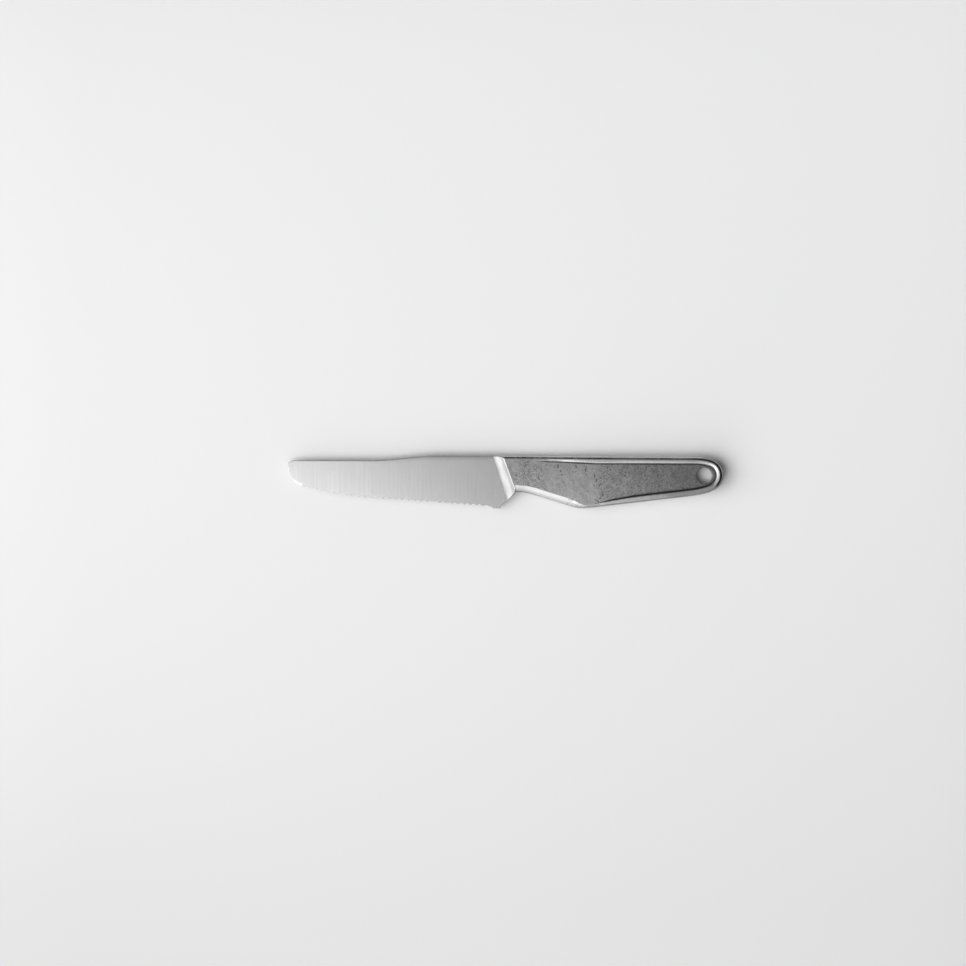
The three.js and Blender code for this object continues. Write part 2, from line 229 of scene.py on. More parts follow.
def addNode(tree, kind, inputs=None, **settings):
    made = tree.nodes.new(kind)
    for key, value in settings.items():
        setattr(made, key, value)
    for key, value in (inputs or {}).items():
        if isinstance(value, bpy.types.NodeSocket):
            tree.links.new(value, made.inputs[key])
        else:
            made.inputs[key].default_value = value
    return made


def newMaterial(name):
    material = bpy.data.materials.new(name)
    material.use_nodes = True
    return material, material.node_tree, material.node_tree.nodes["Principled BSDF"]


def objectPlace(tree):
    return addNode(tree, "ShaderNodeTexCoord").outputs["Object"]


def stretched(tree, cells):  # object coordinates, with so many cells to a metre along the axes
    inputs = {"Vector": objectPlace(tree), "Scale": cells}
    return addNode(tree, "ShaderNodeMapping", inputs).outputs["Vector"]


def noiseOf(tree, cells, detail=2.0, roughness=0.5):
    inputs = {"Vector": stretched(tree, cells), "Scale": 1.0, "Detail": detail, "Roughness": roughness}
    return addNode(tree, "ShaderNodeTexNoise", inputs).outputs["Fac"]


def between(tree, value, low, high, outLow=0.0, outHigh=1.0):
    inputs = {"Value": value, "From Min": low, "From Max": high, "To Min": outLow, "To Max": outHigh}
    return addNode(tree, "ShaderNodeMapRange", inputs, interpolation_type="SMOOTHSTEP").outputs["Result"]


def sumUp(tree, operation, a, b):
    return addNode(tree, "ShaderNodeMath", {0: a, 1: b}, operation=operation).outputs["Value"]


def plus(tree, a, b):
    return sumUp(tree, "ADD", a, b)


def minus(tree, a, b):
    return sumUp(tree, "SUBTRACT", a, b)


def times(tree, a, b):
    return sumUp(tree, "MULTIPLY", a, b)


def larger(tree, a, b):
    return sumUp(tree, "MAXIMUM", a, b)


def mixGrey(tree, factor, low, high):
    inputs = {"Factor": factor, "A": low, "B": high}
    return addNode(tree, "ShaderNodeMix", inputs, data_type="FLOAT").outputs["Result"]


def toColour(tree, value):
    inputs = {"Red": value, "Green": value, "Blue": value}
    return addNode(tree, "ShaderNodeCombineColor", inputs).outputs["Color"]


def vertexValue(tree, name):
    return addNode(tree, "ShaderNodeAttribute", attribute_name=name).outputs["Fac"]


def bumped(tree, height, distance):
    inputs = {"Height": height, "Distance": distance, "Strength": 1.0}
    return addNode(tree, "ShaderNodeBump", inputs).outputs["Normal"]


def dressSteel(tree, shader, level, rough, normal):
    tree.links.new(toColour(tree, level), shader.inputs["Base Color"])
    tree.links.new(rough, shader.inputs["Roughness"])
    tree.links.new(normal, shader.inputs["Normal"])
    shader.inputs["Metallic"].default_value = 1.0


def objectAxis(tree, axis):
    return addNode(tree, "ShaderNodeSeparateXYZ", {0: objectPlace(tree)}).outputs[axis]


def alongDrawing(tree, x0, x1, low, high):  # from low to high between two places along the knife
    return between(tree, objectAxis(tree, "X"), place(x0, 0, 0).x, place(x1, 0, 0).x, low, high)


def downDrawing(tree, y0, y1, low, high):  # from low to high between two depths below the spine line
    return between(tree, objectAxis(tree, "Y"), place(0, y0, 0).y, place(0, y1, 0).y, low, high)


def patch(tree, x, y, reach, ragged):  # 1 round a place of the drawing, fading to 0 with a ragged border
    inputs = {0: objectPlace(tree), 1: (1.0, 1.0, 0.0)}
    level = addNode(tree, "ShaderNodeVectorMath", inputs, operation="MULTIPLY").outputs["Vector"]
    inputs = {0: level, 1: (place(x, y, 0).x, place(x, y, 0).y, 0.0)}
    away = addNode(tree, "ShaderNodeVectorMath", inputs, operation="DISTANCE").outputs["Value"]
    reach = reach * drawn["mmToM"]
    shifted = plus(tree, away, times(tree, ragged, patchBorder["ragged"] * reach))
    return between(tree, shifted, patchBorder["from"] * reach, patchBorder["to"] * reach, 1.0, 0.0)


def streakMark(tree, x, y, wide, tall, turn, ragged):  # 1 on a small streak, turned from upright
    scale = drawn["mmToM"]
    inputs = {
        "Vector": objectPlace(tree), "Location": (place(x, y, 0).x, place(x, y, 0).y, 0.0),
        "Rotation": (0.0, 0.0, math.radians(turn)), "Scale": (wide * scale, tall * scale, 1.0),
    }
    spot = addNode(tree, "ShaderNodeMapping", inputs, vector_type="TEXTURE").outputs["Vector"]
    away = addNode(tree, "ShaderNodeVectorMath", {0: spot}, operation="LENGTH").outputs["Value"]
    shifted = plus(tree, away, times(tree, ragged, markBorder["ragged"]))
    return between(tree, shifted, markBorder["from"], markBorder["to"], 1.0, 0.0)


satinLook = {
    "dark": 0.392, "light": 0.48, "roughLow": 0.20, "roughHigh": 0.25, "grainDepth": 3e-6,
    "hairlines": (9000.0, 120.0, 400.0), "lines": (2300.0, 14.0, 60.0), "clouds": (90.0, 60.0, 60.0),
    "lineShare": 0.5, "cloudShare": 0.45,
    "combing": 0.012, "combCells": (1000.0, 8.0, 40.0), "combScale": 0.16, "combBend": 4.0,  # broader lines
}


def makeSatinSteel():
    look = satinLook
    material, tree, shader = newMaterial("satinSteel")
    fine = noiseOf(tree, look["hairlines"], 3.0)
    line = noiseOf(tree, look["lines"])
    cloud = noiseOf(tree, look["clouds"])
    inputs = {
        "Vector": stretched(tree, look["combCells"]), "Scale": look["combScale"],
        "Distortion": look["combBend"], "Detail": 1.0,
    }
    comb = addNode(tree, "ShaderNodeTexWave", inputs).outputs["Fac"]
    streak = mixGrey(tree, look["cloudShare"], mixGrey(tree, look["lineShare"], fine, line), cloud)
    level = between(tree, streak, *noiseSpan, look["dark"], look["light"])
    combed = between(tree, comb, 0.0, 1.0, 1.0 - look["combing"], 1.0 + look["combing"])
    rough = between(tree, streak, *noiseSpan, look["roughHigh"], look["roughLow"])
    dressSteel(tree, shader, times(tree, level, combed), rough, bumped(tree, fine, look["grainDepth"]))
    return material


polishLook = {
    "dark": 0.425, "light": 0.475, "roughLow": 0.21, "roughHigh": 0.27, "grainDepth": 3e-5,
    "lines": (700.0, 260.0, 700.0), "clouds": (160.0, 160.0, 160.0), "lineHeight": 0.1,
    "dullShade": 0.1, "dullRough": 0.27,  # rougher where it is dull, and darker there as painted shade
    "sideShade": 0.22,  # painted shade on the finger rail's outer side
    "pitX": 34.0, "pitY": -22.5, "pitReach": 5.0,  # where the finger bevel is pitted
    "pitCells": (1500.0, 1900.0, 1900.0), "pitSpan": (0.55, 0.61), "pitGrey": 0.1, "pitHeight": 0.2,
}


def makePolishedSteel():
    look = polishLook
    material, tree, shader = newMaterial("polishedSteel")
    line = noiseOf(tree, look["lines"], 3.0)
    cloud = noiseOf(tree, look["clouds"], 3.0)
    spots = between(tree, noiseOf(tree, look["pitCells"], 1.0), *look["pitSpan"])
    pits = times(tree, spots, patch(tree, look["pitX"], look["pitY"], look["pitReach"], cloud))
    level = between(tree, cloud, *noiseSpan, look["dark"], look["light"])
    level = mixGrey(tree, pits, level, look["pitGrey"])
    dull = vertexValue(tree, "paintedShadeAndDull")
    shade = minus(tree, 1.0, times(tree, dull, look["dullShade"]))
    # painted shade on the finger rail's outer side, deeper by the bolster
    shade = minus(tree, shade, times(tree, vertexValue(tree, "wearAndPaintedLight"), look["sideShade"]))
    rough = between(tree, line, *noiseSpan, look["roughLow"], look["roughHigh"])
    rough = plus(tree, rough, times(tree, dull, look["dullRough"]))
    height = minus(tree, times(tree, line, look["lineHeight"]), times(tree, pits, look["pitHeight"]))
    dressSteel(tree, shader, times(tree, level, shade), rough, bumped(tree, height, look["grainDepth"]))
    return material


skinLook = {
    "dark": 0.225, "light": 0.37,  # greys of the forged skin by the bolster
    "shadeFrom": 35.0, "shadeTo": 100.0, "rearShade": 0.62,  # it is darker by the hole, partly as painted shade
    "lowY": -22.0, "highY": -2.0, "lowShade": 1.1, "highShade": 0.88,  # and darker by the spine
    "clouds": (150.0, 190.0, 190.0), "grit": (1700.0, 1700.0, 1700.0), "blotches": (520.0, 400.0, 400.0),
    "gritShare": 0.75, "speckleSpan": (-0.15, 0.15), "calmBusy": 0.65, "roughBusy": 1.2,  # how lively it is
    "roughLow": 0.42, "roughHigh": 0.58,
    "shadeGrey": 0.05, "shadeSpan": (0.15, 0.6), "shadeRagged": 1.2,  # painted shade in the crease beside the rails, partly scale, and a painted dark reflection along their shoulders
    "scratchX": 13.5, "scratchY": -10.0, "scratchReach": 6.5,  # the scratched patch behind the bolster
    "scratchCells": (520.0, 560.0, 300.0), "scratchBends": (900.0, 900.0, 900.0),
    "scratchBreaks": (800.0, 800.0, 800.0), "breakSpan": (0.47, 0.57),
    "scratchThin": 0.015, "scratchThick": 0.06, "scratchShare": 0.75,
    "calmFrom": 19.5, "calmFade": 3.0, "rougherFrom": 44.5, "rougherFade": 2.5,  # smooth between these
    "wobble": 0.014,  # how ragged the borders of that part are
    "rougherShade": 0.14, "mottle": 0.07, "mottleSpan": (0.35, 0.65),  # the pitted part is darker and uneven
    "speckGrey": 0.04, "speckCells": (1500.0, 1500.0, 1500.0),
    "fewSpan": (0.70, 0.76), "fewShare": 0.8, "manySpan": (0.58, 0.68), "manyShare": 0.5,
    "pitDepth": 4e-5, "gritHeight": 0.5,
    "markShare": 0.65,
    "marks": (  # streaks and dents in the scale: x, y, half width, half length, turn from upright
        (27.3, -4.7, 0.35, 1.2, 0.0), (35.8, -5.0, 0.32, 1.0, 8.0), (40.4, -6.4, 0.36, 1.3, -6.0),
        (28.5, -7.2, 0.42, 0.5, 0.0), (29.1, -8.9, 0.36, 0.36, 0.0), (15.5, -2.5, 0.45, 0.5, 0.0),
        (46.0, -21.4, 0.30, 1.1, 40.0), (47.6, -22.1, 0.8, 0.3, 12.0), (48.5, -18.5, 0.3, 0.8, -50.0),
        (46.9, -13.8, 0.3, 1.0, -28.0), (44.6, -9.6, 0.3, 1.2, 5.0), (45.4, -11.6, 0.3, 0.9, -20.0),
        (79.1, -8.2, 0.35, 0.35, 0.0),
    ),
}
wornLook = {
    "bellyBelow": -17.5, "railAbove": -14.0,  # a pair gives the value on the belly, and on the other rails
    "share": (0.75, 1.0), "dark": (0.28, 0.43), "light": (0.38, 0.53), "rough": (0.42, 0.26),
    "wearSpan": (0.35, 0.65), "wearRagged": 0.5, "flatter": 0.8,
}


def scratchesOf(tree, uneven):  # the borders of small cells, bent by one noise and broken up by another
    look = skinLook
    inputs = {"Vector": stretched(tree, look["scratchBends"]), "Scale": 1.0}
    bend = addNode(tree, "ShaderNodeTexNoise", inputs).outputs["Color"]
    inputs = {0: stretched(tree, look["scratchCells"]), 1: bend}
    cells = addNode(tree, "ShaderNodeVectorMath", inputs, operation="ADD").outputs["Vector"]
    inputs = {"Vector": cells, "Scale": 1.0}
    border = addNode(tree, "ShaderNodeTexVoronoi", inputs, feature="DISTANCE_TO_EDGE").outputs["Distance"]
    lines = between(tree, border, look["scratchThin"], look["scratchThick"], 1.0, 0.0)
    broken = between(tree, noiseOf(tree, look["scratchBreaks"], 1.0), *look["breakSpan"])
    where = patch(tree, look["scratchX"], look["scratchY"], look["scratchReach"], uneven)
    return times(tree, times(tree, times(tree, lines, broken), where), look["scratchShare"])


def raggedStep(tree, uneven, x, fade, low, high):  # from low to high along the knife, with a ragged border
    shifted = plus(tree, objectAxis(tree, "X"), times(tree, uneven, skinLook["wobble"]))
    return between(tree, shifted, place(x, 0, 0).x, place(x + fade, 0, 0).x, low, high)


def makeForgedSkin(name, marks=()):
    look, worn = skinLook, wornLook
    material, tree, shader = newMaterial(name)
    cloud = noiseOf(tree, look["clouds"], 4.0, 0.6)
    grit = noiseOf(tree, look["grit"], 3.0, 0.7)
    blotch = noiseOf(tree, look["blotches"], 3.0, 0.6)
    uneven = minus(tree, cloud, 0.5)
    ragged = minus(tree, mixGrey(tree, 0.5, blotch, grit), 0.5)
    rougher = raggedStep(tree, uneven, look["rougherFrom"], look["rougherFade"], 0.0, 1.0)
    front = raggedStep(tree, uneven, look["calmFrom"], look["calmFade"], 1.0, 0.0)
    # pits are scratches, specks and single marks
    specks = noiseOf(tree, look["speckCells"], 1.0)
    few = times(tree, between(tree, specks, *look["fewSpan"]), look["fewShare"])
    many = times(tree, between(tree, specks, *look["manySpan"]), rougher)
    pits = larger(tree, scratchesOf(tree, uneven), larger(tree, few, times(tree, many, look["manyShare"])))
    for mark in marks:
        pits = larger(tree, pits, times(tree, streakMark(tree, *mark, ragged), look["markShare"]))
    # greys of the skin
    busy = between(tree, larger(tree, front, rougher), 0.0, 1.0, look["calmBusy"], look["roughBusy"])
    speckle = times(tree, minus(tree, mixGrey(tree, look["gritShare"], cloud, grit), 0.5), busy)
    skin = between(tree, speckle, *look["speckleSpan"], look["dark"], look["light"])
    rear = alongDrawing(tree, look["shadeFrom"], look["shadeTo"], 1.0, look["rearShade"])
    high = downDrawing(tree, look["lowY"], look["highY"], look["lowShade"], look["highShade"])
    skin = times(tree, times(tree, skin, rear), high)
    skin = times(tree, skin, minus(tree, 1.0, times(tree, rougher, look["rougherShade"])))
    mottle = between(tree, blotch, *look["mottleSpan"], -look["mottle"], look["mottle"])
    skin = times(tree, skin, plus(tree, times(tree, mottle, rougher), 1.0))
    skin = mixGrey(tree, pits, skin, look["speckGrey"])
    # worn places are brighter on the upper rails than on the belly
    upper = downDrawing(tree, worn["bellyBelow"], worn["railAbove"], 0.0, 1.0)
    pairs = (worn[key] for key in ("share", "dark", "light", "rough"))
    share, dark, light, wornRough = (mixGrey(tree, upper, *pair) for pair in pairs)
    wearAndPaintedLight = plus(tree, vertexValue(tree, "wearAndPaintedLight"), times(tree, uneven, worn["wearRagged"]))
    bright = times(tree, between(tree, wearAndPaintedLight, *worn["wearSpan"]), share)
    steel = between(tree, mixGrey(tree, 0.5, cloud, grit), *noiseSpan, dark, light)
    # painted shade in the creases, partly scale, and painted dark reflection along the rails' shoulders
    paintedShadeAndDull = plus(tree, vertexValue(tree, "paintedShadeAndDull"), times(tree, ragged, look["shadeRagged"]))
    level = mixGrey(tree, bright, skin, steel)
    level = mixGrey(tree, between(tree, paintedShadeAndDull, *look["shadeSpan"]), level, look["shadeGrey"])
    rough = between(tree, grit, *noiseSpan, look["roughLow"], look["roughHigh"])
    rough = mixGrey(tree, bright, rough, wornRough)
    height = minus(tree, times(tree, grit, look["gritHeight"]), pits)
    height = times(tree, height, minus(tree, 1.0, times(tree, bright, worn["flatter"])))
    dressSteel(tree, shader, level, rough, bumped(tree, height, look["pitDepth"]))
    return material


satinSteel = makeSatinSteel()
polishedSteel = makePolishedSteel()
forgedSkin = makeForgedSkin("forgedSkin", skinLook["marks"])
railSteel = makeForgedSkin("railSteel")
print("materials made")


# bolster: a slanted band, u down it from the spine line, v across it towards the butt, v = 0 at its rear face

bolsterShape = {
    "width": 4.9, "tilt": 20.0, "rear": 1.1, "edgeRadius": 0.18, "crestHeight": 1.74,
    "overhang": 0.45,  # how far its rear edge stands over the handle
    "toeReachTop": 0.4, "toeReachLow": 1.1,  # how far the slope runs out onto the blade
    "slopeEase": 3.0,  # 0 is a flat bevel, and the higher, the longer the soft run-outs
    "slopeRear": 0.27,  # how steep it still is at the rear edge, as a share of the steepest
    "rearTo": 0.75, "rearFade": 0.5,  # the share of the slope where that ends, and over which it fades
    "lipRise": 0.12, "lipWidth": 0.7,  # a fine raised edge at the rear
    "topRound": 0.7, "lowRound": 1.0,  # rounded ends
    "toeTuck": 0.04, "tuckFrom": 0.7, "tuckFade": 0.25,  # at the toe its ends lie inside the blade's edges
    "dullTop": 1.0, "dullLow": 1.2,  # how dull the polish is, and so how much painted shade it has, more towards the lower end
    "topCorner": 1.7, "lowCorner": 1.5,  # rear corners, seen from above
    "steps": 50, "slopeSteps": 200, "edgeSteps": 10, "edgeTurn": 9.0,
    "endSteps": 11, "endStep": 0.01, "middleFrom": 1.4, "middleSteps": 30,  # points lie closer by the ends
}
roundLimit = 0.45  # a rounded end is at most this share of the height there
bladeShape = {
    "length": drawn["bladeLength"], "spineThickness": 2.2, "tipThickness": 1.4, "edgeThickness": 0.45,
    "underBolster": 0.6,
    "spineRear": 26.0, "spineDropLength": 38.0, "spineDrop": 2.2, "spineRound": 0.45,
    "tipCornerLength": 2.5, "tipCornerDepth": 1.2, "tipCornerPull": 0.12,
    "noseDepth": 6.0, "noseLead": 3.8, "noseLength": 7.0, "noseEndDepth": 14.2,
    "noseEndSlope": 0.3, "noseEndLead": 4.2, "noseFan": 0.7,
    "noseBevel": 0.15, "noseLand": 0.006,
    "bevelGrow": 4.0, "bevelFade": 3.5, "bevelStop": 1.0,  # lengths along the nose
    "bellyLength": 31.0, "bellyEndDepth": 19.75, "toothEndDepth": 23.9,
    "heelDepth": 24.75, "heelLand": 3.2, "heelRamp": 2.0, "heelScoop": 0.3,
    "choilHeelLead": 4.4, "choilHeelAngle": 57.0, "choilTopLead": 2.9, "choilTopAngle": 60.0,
    "edgeRound": 0.2, "choilRound": 0.5, "choilFade": 1.5, "choilShare": 0.8,
    "edgeFall": 0.55,  # how far a plain edge falls away, as a share of its rounding
    "toothPitch": 2.93, "gulletDepth": 0.62, "gulletRadius": 3.6, "gulletAngle": 30.0,
    "tipTeeth": 0.5,  # depth of the scallops at the tip, as a share of the others'
    "toothLand": 0.03, "toothBand": 0.02,  # a tooth's edge lies this far behind the face, over such a band
    "roomTeeth": 0.3, "roomNose": 0.45,  # shares of a ladder line that a bevel may take up
    "leastSlant": 0.35,  # sine of the flattest angle at which a ladder line meets an edge
    "shortest": 1e-6,
    "squareFrom": -9.0,  # ladder lines stand square to the spine from here to the nose
}
bladeSteps = {
    "level": 20, "drop": 60, "corner": 16, "choil": 60, "choilFine": 200, "land": 10, "ramp": 14,
    "straight": 4, "belly": 200, "tooth": 16, "nose": 60, "noseTop": 12, "shoulder": 6, "face": 12,
}
handleShape = {
    "length": 105.0, "thickness": 8.8,
    "topFall": 0.54, "topOverrun": 4.0, "topBlend": 14.0, "bellyBlend": 17.0,
    "buttRadius": 8.0, "buttDepth": 9.2, "buttArc": 50.0,
    "bellyCorner": 37.4, "bellyCornerDepth": 25.1, "bellyCornerTangent": 4.0, "bellyRearDepth": 19.27,
    "fingerDepth": 17.1, "fingerRiseEnd": 17.2, "fingerRiseDepth": 18.8, "fingerEase": 4.0,
    "bolsterStep": 2.74, "rimDepth": 2.4,
    "railWidth": 3.8, "railRound": 1.9, "sideLand": 0.15,
    "crestFront": 1.6, "crestRear": 1.85, "crestBelly": 0.9,  # inset of the crest from the outline
    "crestTurn": 1.8, "crestTurnDepths": (-7.0, -2.0),  # where the spine turns into the butt
    "crestTurnSpeed": 2.0,  # how much sooner than the rest it is there
    "bandThin": 0.15, "bandWide": 1.1, "bandBelly": 1.5, "bandCurve": 1.5,  # the crest is a band this wide
    "bandLean": 7.0, "leanGrows": (45.0, 75.0),  # degrees it leans inward, growing along the spine
    "buttLean": 8.5, "turn": (86.0, 100.0),  # and growing again where it turns towards the butt
    "buttDepths": (-17.5, -14.0),  # between these the butt's crest passes into the belly's
    "footFront": 2.1, "footRear": 3.6, "footBelly": 3.25,  # inset of its foot
    "footFrom": 14.0, "footTo": 46.0,  # along the spine the foot moves in over this length
    "creaseShade": 0.7, "creaseReach": 0.8,  # painted shade in the crease, partly scale, and how far it spreads on the web
    "shadeRun": 8.0, "shadeFade": 0.35,
    # how bright the outer side is worn, partly painted (a painted reflection on the spine and belly, painted
    # shade on the butt), how dark the painted dark reflection along its shoulder is, on which step of it that
    # line starts, and how far down the inner slope the painted crease shade starts
    "spineFinish": (1.0, 0.45, 7.0, 0.6),
    "buttFinish": (0.2, 0.75, 8.0, 0.6),
    "bellyFinish": (0.62, 0.0, 8.0, 0.15),
    "lineSteps": 8,  # steps of the shoulder that the painted dark line takes
    "flatWear": 0.2, "slopeWearTo": 0.6, "slopeWearFade": 0.3,
    "cornerWidth": 1.3, "cornerRun": 9.0, "cornerCrestRun": 4.0, "bellyRun": 26.0, "bellyPower": 1.6,
    "fingerWidth": 3.2, "fingerRound": 1.5, "fingerTilt": 0.28, "fingerDull": 0.5,
    "sideSteps": 4, "sideFade": 14,  # steps of the finger bevel that get painted shade, and that fade
    "frontShade": 2.5, "frontFade": (7.0, 21.0),  # deeper painted shade by the bolster
    "spineRimStart": 13.0, "spineRimSlow": 0.33, "bellyRimStart": 44.0, "rimFull": 86.0,
    "rimSpeed": 3.0, "ridgeSpeed": 4.5,  # how soon a rising rim takes its full form and wear
    "startInside": 0.1,  # the rails start this far inside the bolster
    "slantLength": 8.0,  # over this length from it, sections lean over to lie along its rear face
    "holeDiameter": 7.6, "holeRim": 1.1, "holeDrop": 0.3, "seam": 0.2, "holeLip": 0.25,
    # a painted highlight on the hole's rim, on its side towards the butt, and the bore worn bright
    "holeRimHighlight": 0.5, "holeWearReach": 0.7, "boreWear": 0.6,
}
handleSteps = {
    "top": 200, "blend": 44, "butt": 64, "belly": 110, "corner": 24, "finger": 44, "fingerEase": 36,
    "shoulder": 16, "band": 4, "slope": 16, "flat": 4, "bevel": 30,
}
restHalf = handleShape["thickness"] / 2
tilt = math.radians(bolsterShape["tilt"])
downBand = Vector((math.sin(tilt), -math.cos(tilt)))
acrossBand = Vector((math.cos(tilt), math.sin(tilt)))


def bandPoint(u, v):
    return Vector((bolsterShape["rear"], 0.0)) + downBand * u + acrossBand * v


def rearFaceX(y, v=0.0):  # x of the plane at v across the band
    return bolsterShape["rear"] - y * math.tan(tilt) + v / math.cos(tilt)


def bladeHalf(x, y):
    shape = bladeShape
    thick = shape["spineThickness"]
    fall = (thick - shape["edgeThickness"]) / 2 / shape["heelDepth"]
    taper = ((thick - shape["tipThickness"]) / 2 - fall * shape["spineDrop"]) / shape["length"]
    return thick / 2 + fall * y + taper * x


def choilCurve(steps):
    shape = bladeShape
    heel = Vector((0.0, -shape["heelDepth"]))
    depth = handleShape["fingerDepth"]
    top = Vector((rearFaceX(-depth), -depth))
    pullHeel = heel + heading(shape["choilHeelAngle"]) * shape["choilHeelLead"]
    pullTop = top - heading(shape["choilTopAngle"]) * shape["choilTopLead"]
    return curveOf(heel, pullHeel, pullTop, top, steps)


def choilAt(v):  # the point of the choil at v across the band
    path = choilCurve(bladeSteps["choilFine"])
    reach = [(p.x - bolsterShape["rear"]) * math.cos(tilt) + p.y * math.sin(tilt) for p in path]
    for a, b, p, q in zip(reach, reach[1:], path, path[1:]):
        if a <= v <= b:
            return p.lerp(q, (v - a) / (b - a))
    return path[-1]


def bolsterSlope():  # how steep it is on each step from the rear edge to the toe
    shape = bolsterShape
    steps = []
    for i in range(shape["slopeSteps"]):
        share = (i + 0.5) / shape["slopeSteps"]
        hump = math.sin(math.pi * share) ** shape["slopeEase"]
        steps.append(max(hump, shape["slopeRear"] * ease((shape["rearTo"] - share) / shape["rearFade"])))
    return steps


slopeSteps = bolsterSlope()


def slopeRise(share):  # from 1 at the rear edge, share 0, to 0 at the toe, share 1
    return 1.0 - sum(slopeSteps[:round(share * len(slopeSteps))]) / sum(slopeSteps)


def bandHeight(back, share, toeHeight):  # back is the distance from the rear edge, share that of the slope
    shape = bolsterShape
    height = lerp(toeHeight, shape["crestHeight"], slopeRise(share))
    return height + shape["lipRise"] * ease(1.0 - back / shape["lipWidth"])


def roundedOff(height, distance, radius):  # height near an end that is rounded with that radius
    radius = min(radius, roundLimit * height)
    if distance >= radius:
        return height
    return height - radius + math.sqrt(max(radius ** 2 - (radius - distance) ** 2, 0.0))


def cornerCut(back, radius):  # how far a rounded rear corner draws the outline in
    side = max(radius - back, 0.0)
    return radius - math.sqrt(max(radius ** 2 - side ** 2, 0.0))


def makeBolster():
    shape = bolsterShape
    wholeTop = shape["width"] + shape["overhang"] + shape["toeReachTop"]
    wholeLow = shape["width"] + shape["overhang"] + shape["toeReachLow"]
    first = shape["edgeRadius"] / wholeTop
    edgeTurns = [math.radians(shape["edgeTurn"] * i) for i in range(shape["edgeSteps"])]
    shares = [first * (1.0 - math.cos(turn)) for turn in edgeTurns]
    shares += [lerp(first, 1.0, t) for t in evenly(shape["steps"], 1)]
    ends = [shape["endStep"] * i * (i + 1) for i in range(shape["endSteps"])]
    rings = []
    for share in shares:
        vTop = shape["overhang"] - share * wholeTop
        vLow = shape["overhang"] - share * wholeLow
        tuck = shape["toeTuck"] * ease((share - shape["tuckFrom"]) / shape["tuckFade"])
        top = vTop * math.tan(tilt) + cornerCut(share * wholeTop, shape["topCorner"]) + tuck
        low = (choilAt(vLow) - bandPoint(0.0, vLow)).dot(downBand)
        low -= cornerCut(share * wholeLow, shape["lowCorner"]) + tuck
        length = low - top
        far = length - shape["middleFrom"]
        inner = [lerp(shape["middleFrom"], far, t) for t in evenly(shape["middleSteps"])]
        upper = []
        for s in ends + inner + [length - e for e in reversed(ends)]:
            whole = lerp(wholeTop, wholeLow, s / length)
            back = share * whole
            where = bandPoint(top + s, shape["overhang"] - back)
            toe = bandPoint(top + s, shape["overhang"] - whole)
            height = bandHeight(back, share, bladeHalf(toe.x, toe.y))
            sides = ((s, "topRound"), (length - s, "lowRound"), (back, "edgeRadius"))
            height = min(roundedOff(height, distance, shape[key]) for distance, key in sides)
            dull = lerp(shape["dullTop"], shape["dullLow"], s / length)
            upper.append((where.x, where.y, height, 0.0, dull))
        rings.append(mirrored(upper))
    return ringedPiece(rings, "bolsterCollar", "bolster", "polished_steel", polishedSteel)


bolster = makeBolster()


# blade: ladder lines from the spine to the edge, from the bolster to the nose

def spineLine():
    shape, steps = bladeShape, bladeSteps
    start = Vector((rearFaceX(0.0, shape["underBolster"] - bolsterShape["width"]), 0.0))
    dropStart = Vector((-shape["spineRear"], 0.0))
    dropEnd = Vector((-shape["spineRear"] - shape["spineDropLength"], -shape["spineDrop"]))
    middle = (dropStart.x + dropEnd.x) / 2
    corner = Vector((-shape["length"], -shape["spineDrop"]))
    beforeCorner = corner + Vector((shape["tipCornerLength"], 0.0))
    afterCorner = corner - Vector((0.0, shape["tipCornerDepth"]))
    return joined(
        lineOf(start, dropStart, steps["level"]),
        curveOf(dropStart, Vector((middle, 0.0)), Vector((middle, dropEnd.y)), dropEnd, steps["drop"]),
        lineOf(dropEnd, beforeCorner, steps["level"]),
        curveOf(beforeCorner, beforeCorner.lerp(corner, shape["tipCornerPull"]),
                afterCorner.lerp(corner, shape["tipCornerPull"]), afterCorner, steps["corner"]),
    )


def scallop(distance):  # depth of a gullet at a distance from its middle, seen from the front
    shape = bladeShape
    side = distance / shape["gulletRadius"]
    flank = shape["gulletRadius"] / math.sin(math.radians(shape["gulletAngle"]))
    return max(shape["gulletDepth"] - flank * (1.0 - math.sqrt(1.0 - side * side)), 0.0)


# stretches of the edge: each point comes with its kind, its scoop inward and its bevel

def heelEdge(heel, landEnd, toothEnd):  # up to the first tooth
    shape, steps = bladeShape, bladeSteps
    choilTop = choilAt(shape["underBolster"] - bolsterShape["width"])
    choil = [p for p in choilCurve(steps["choil"]) if p.y < choilTop.y] + [choilTop]
    found = []
    for p in reversed(choil):
        rounding = min(shape["choilRound"], shape["choilShare"] * bladeHalf(p.x, p.y))
        bevel = lerp(shape["edgeRound"], rounding, ease((p.y - heel.y) / shape["choilFade"]))
        found.append((p, "plain", 0.0, bevel))
    found += [(p, "plain", 0.0, shape["edgeRound"]) for p in lineOf(heel, landEnd, steps["land"])[1:]]
    ramp = lineOf(landEnd, toothEnd, steps["ramp"])[1:-1]
    for i, p in enumerate(ramp):
        found.append((p, "tooth", shape["heelScoop"] * math.sin(math.pi * (i + 1) / (len(ramp) + 1)), 0.0))
    return found


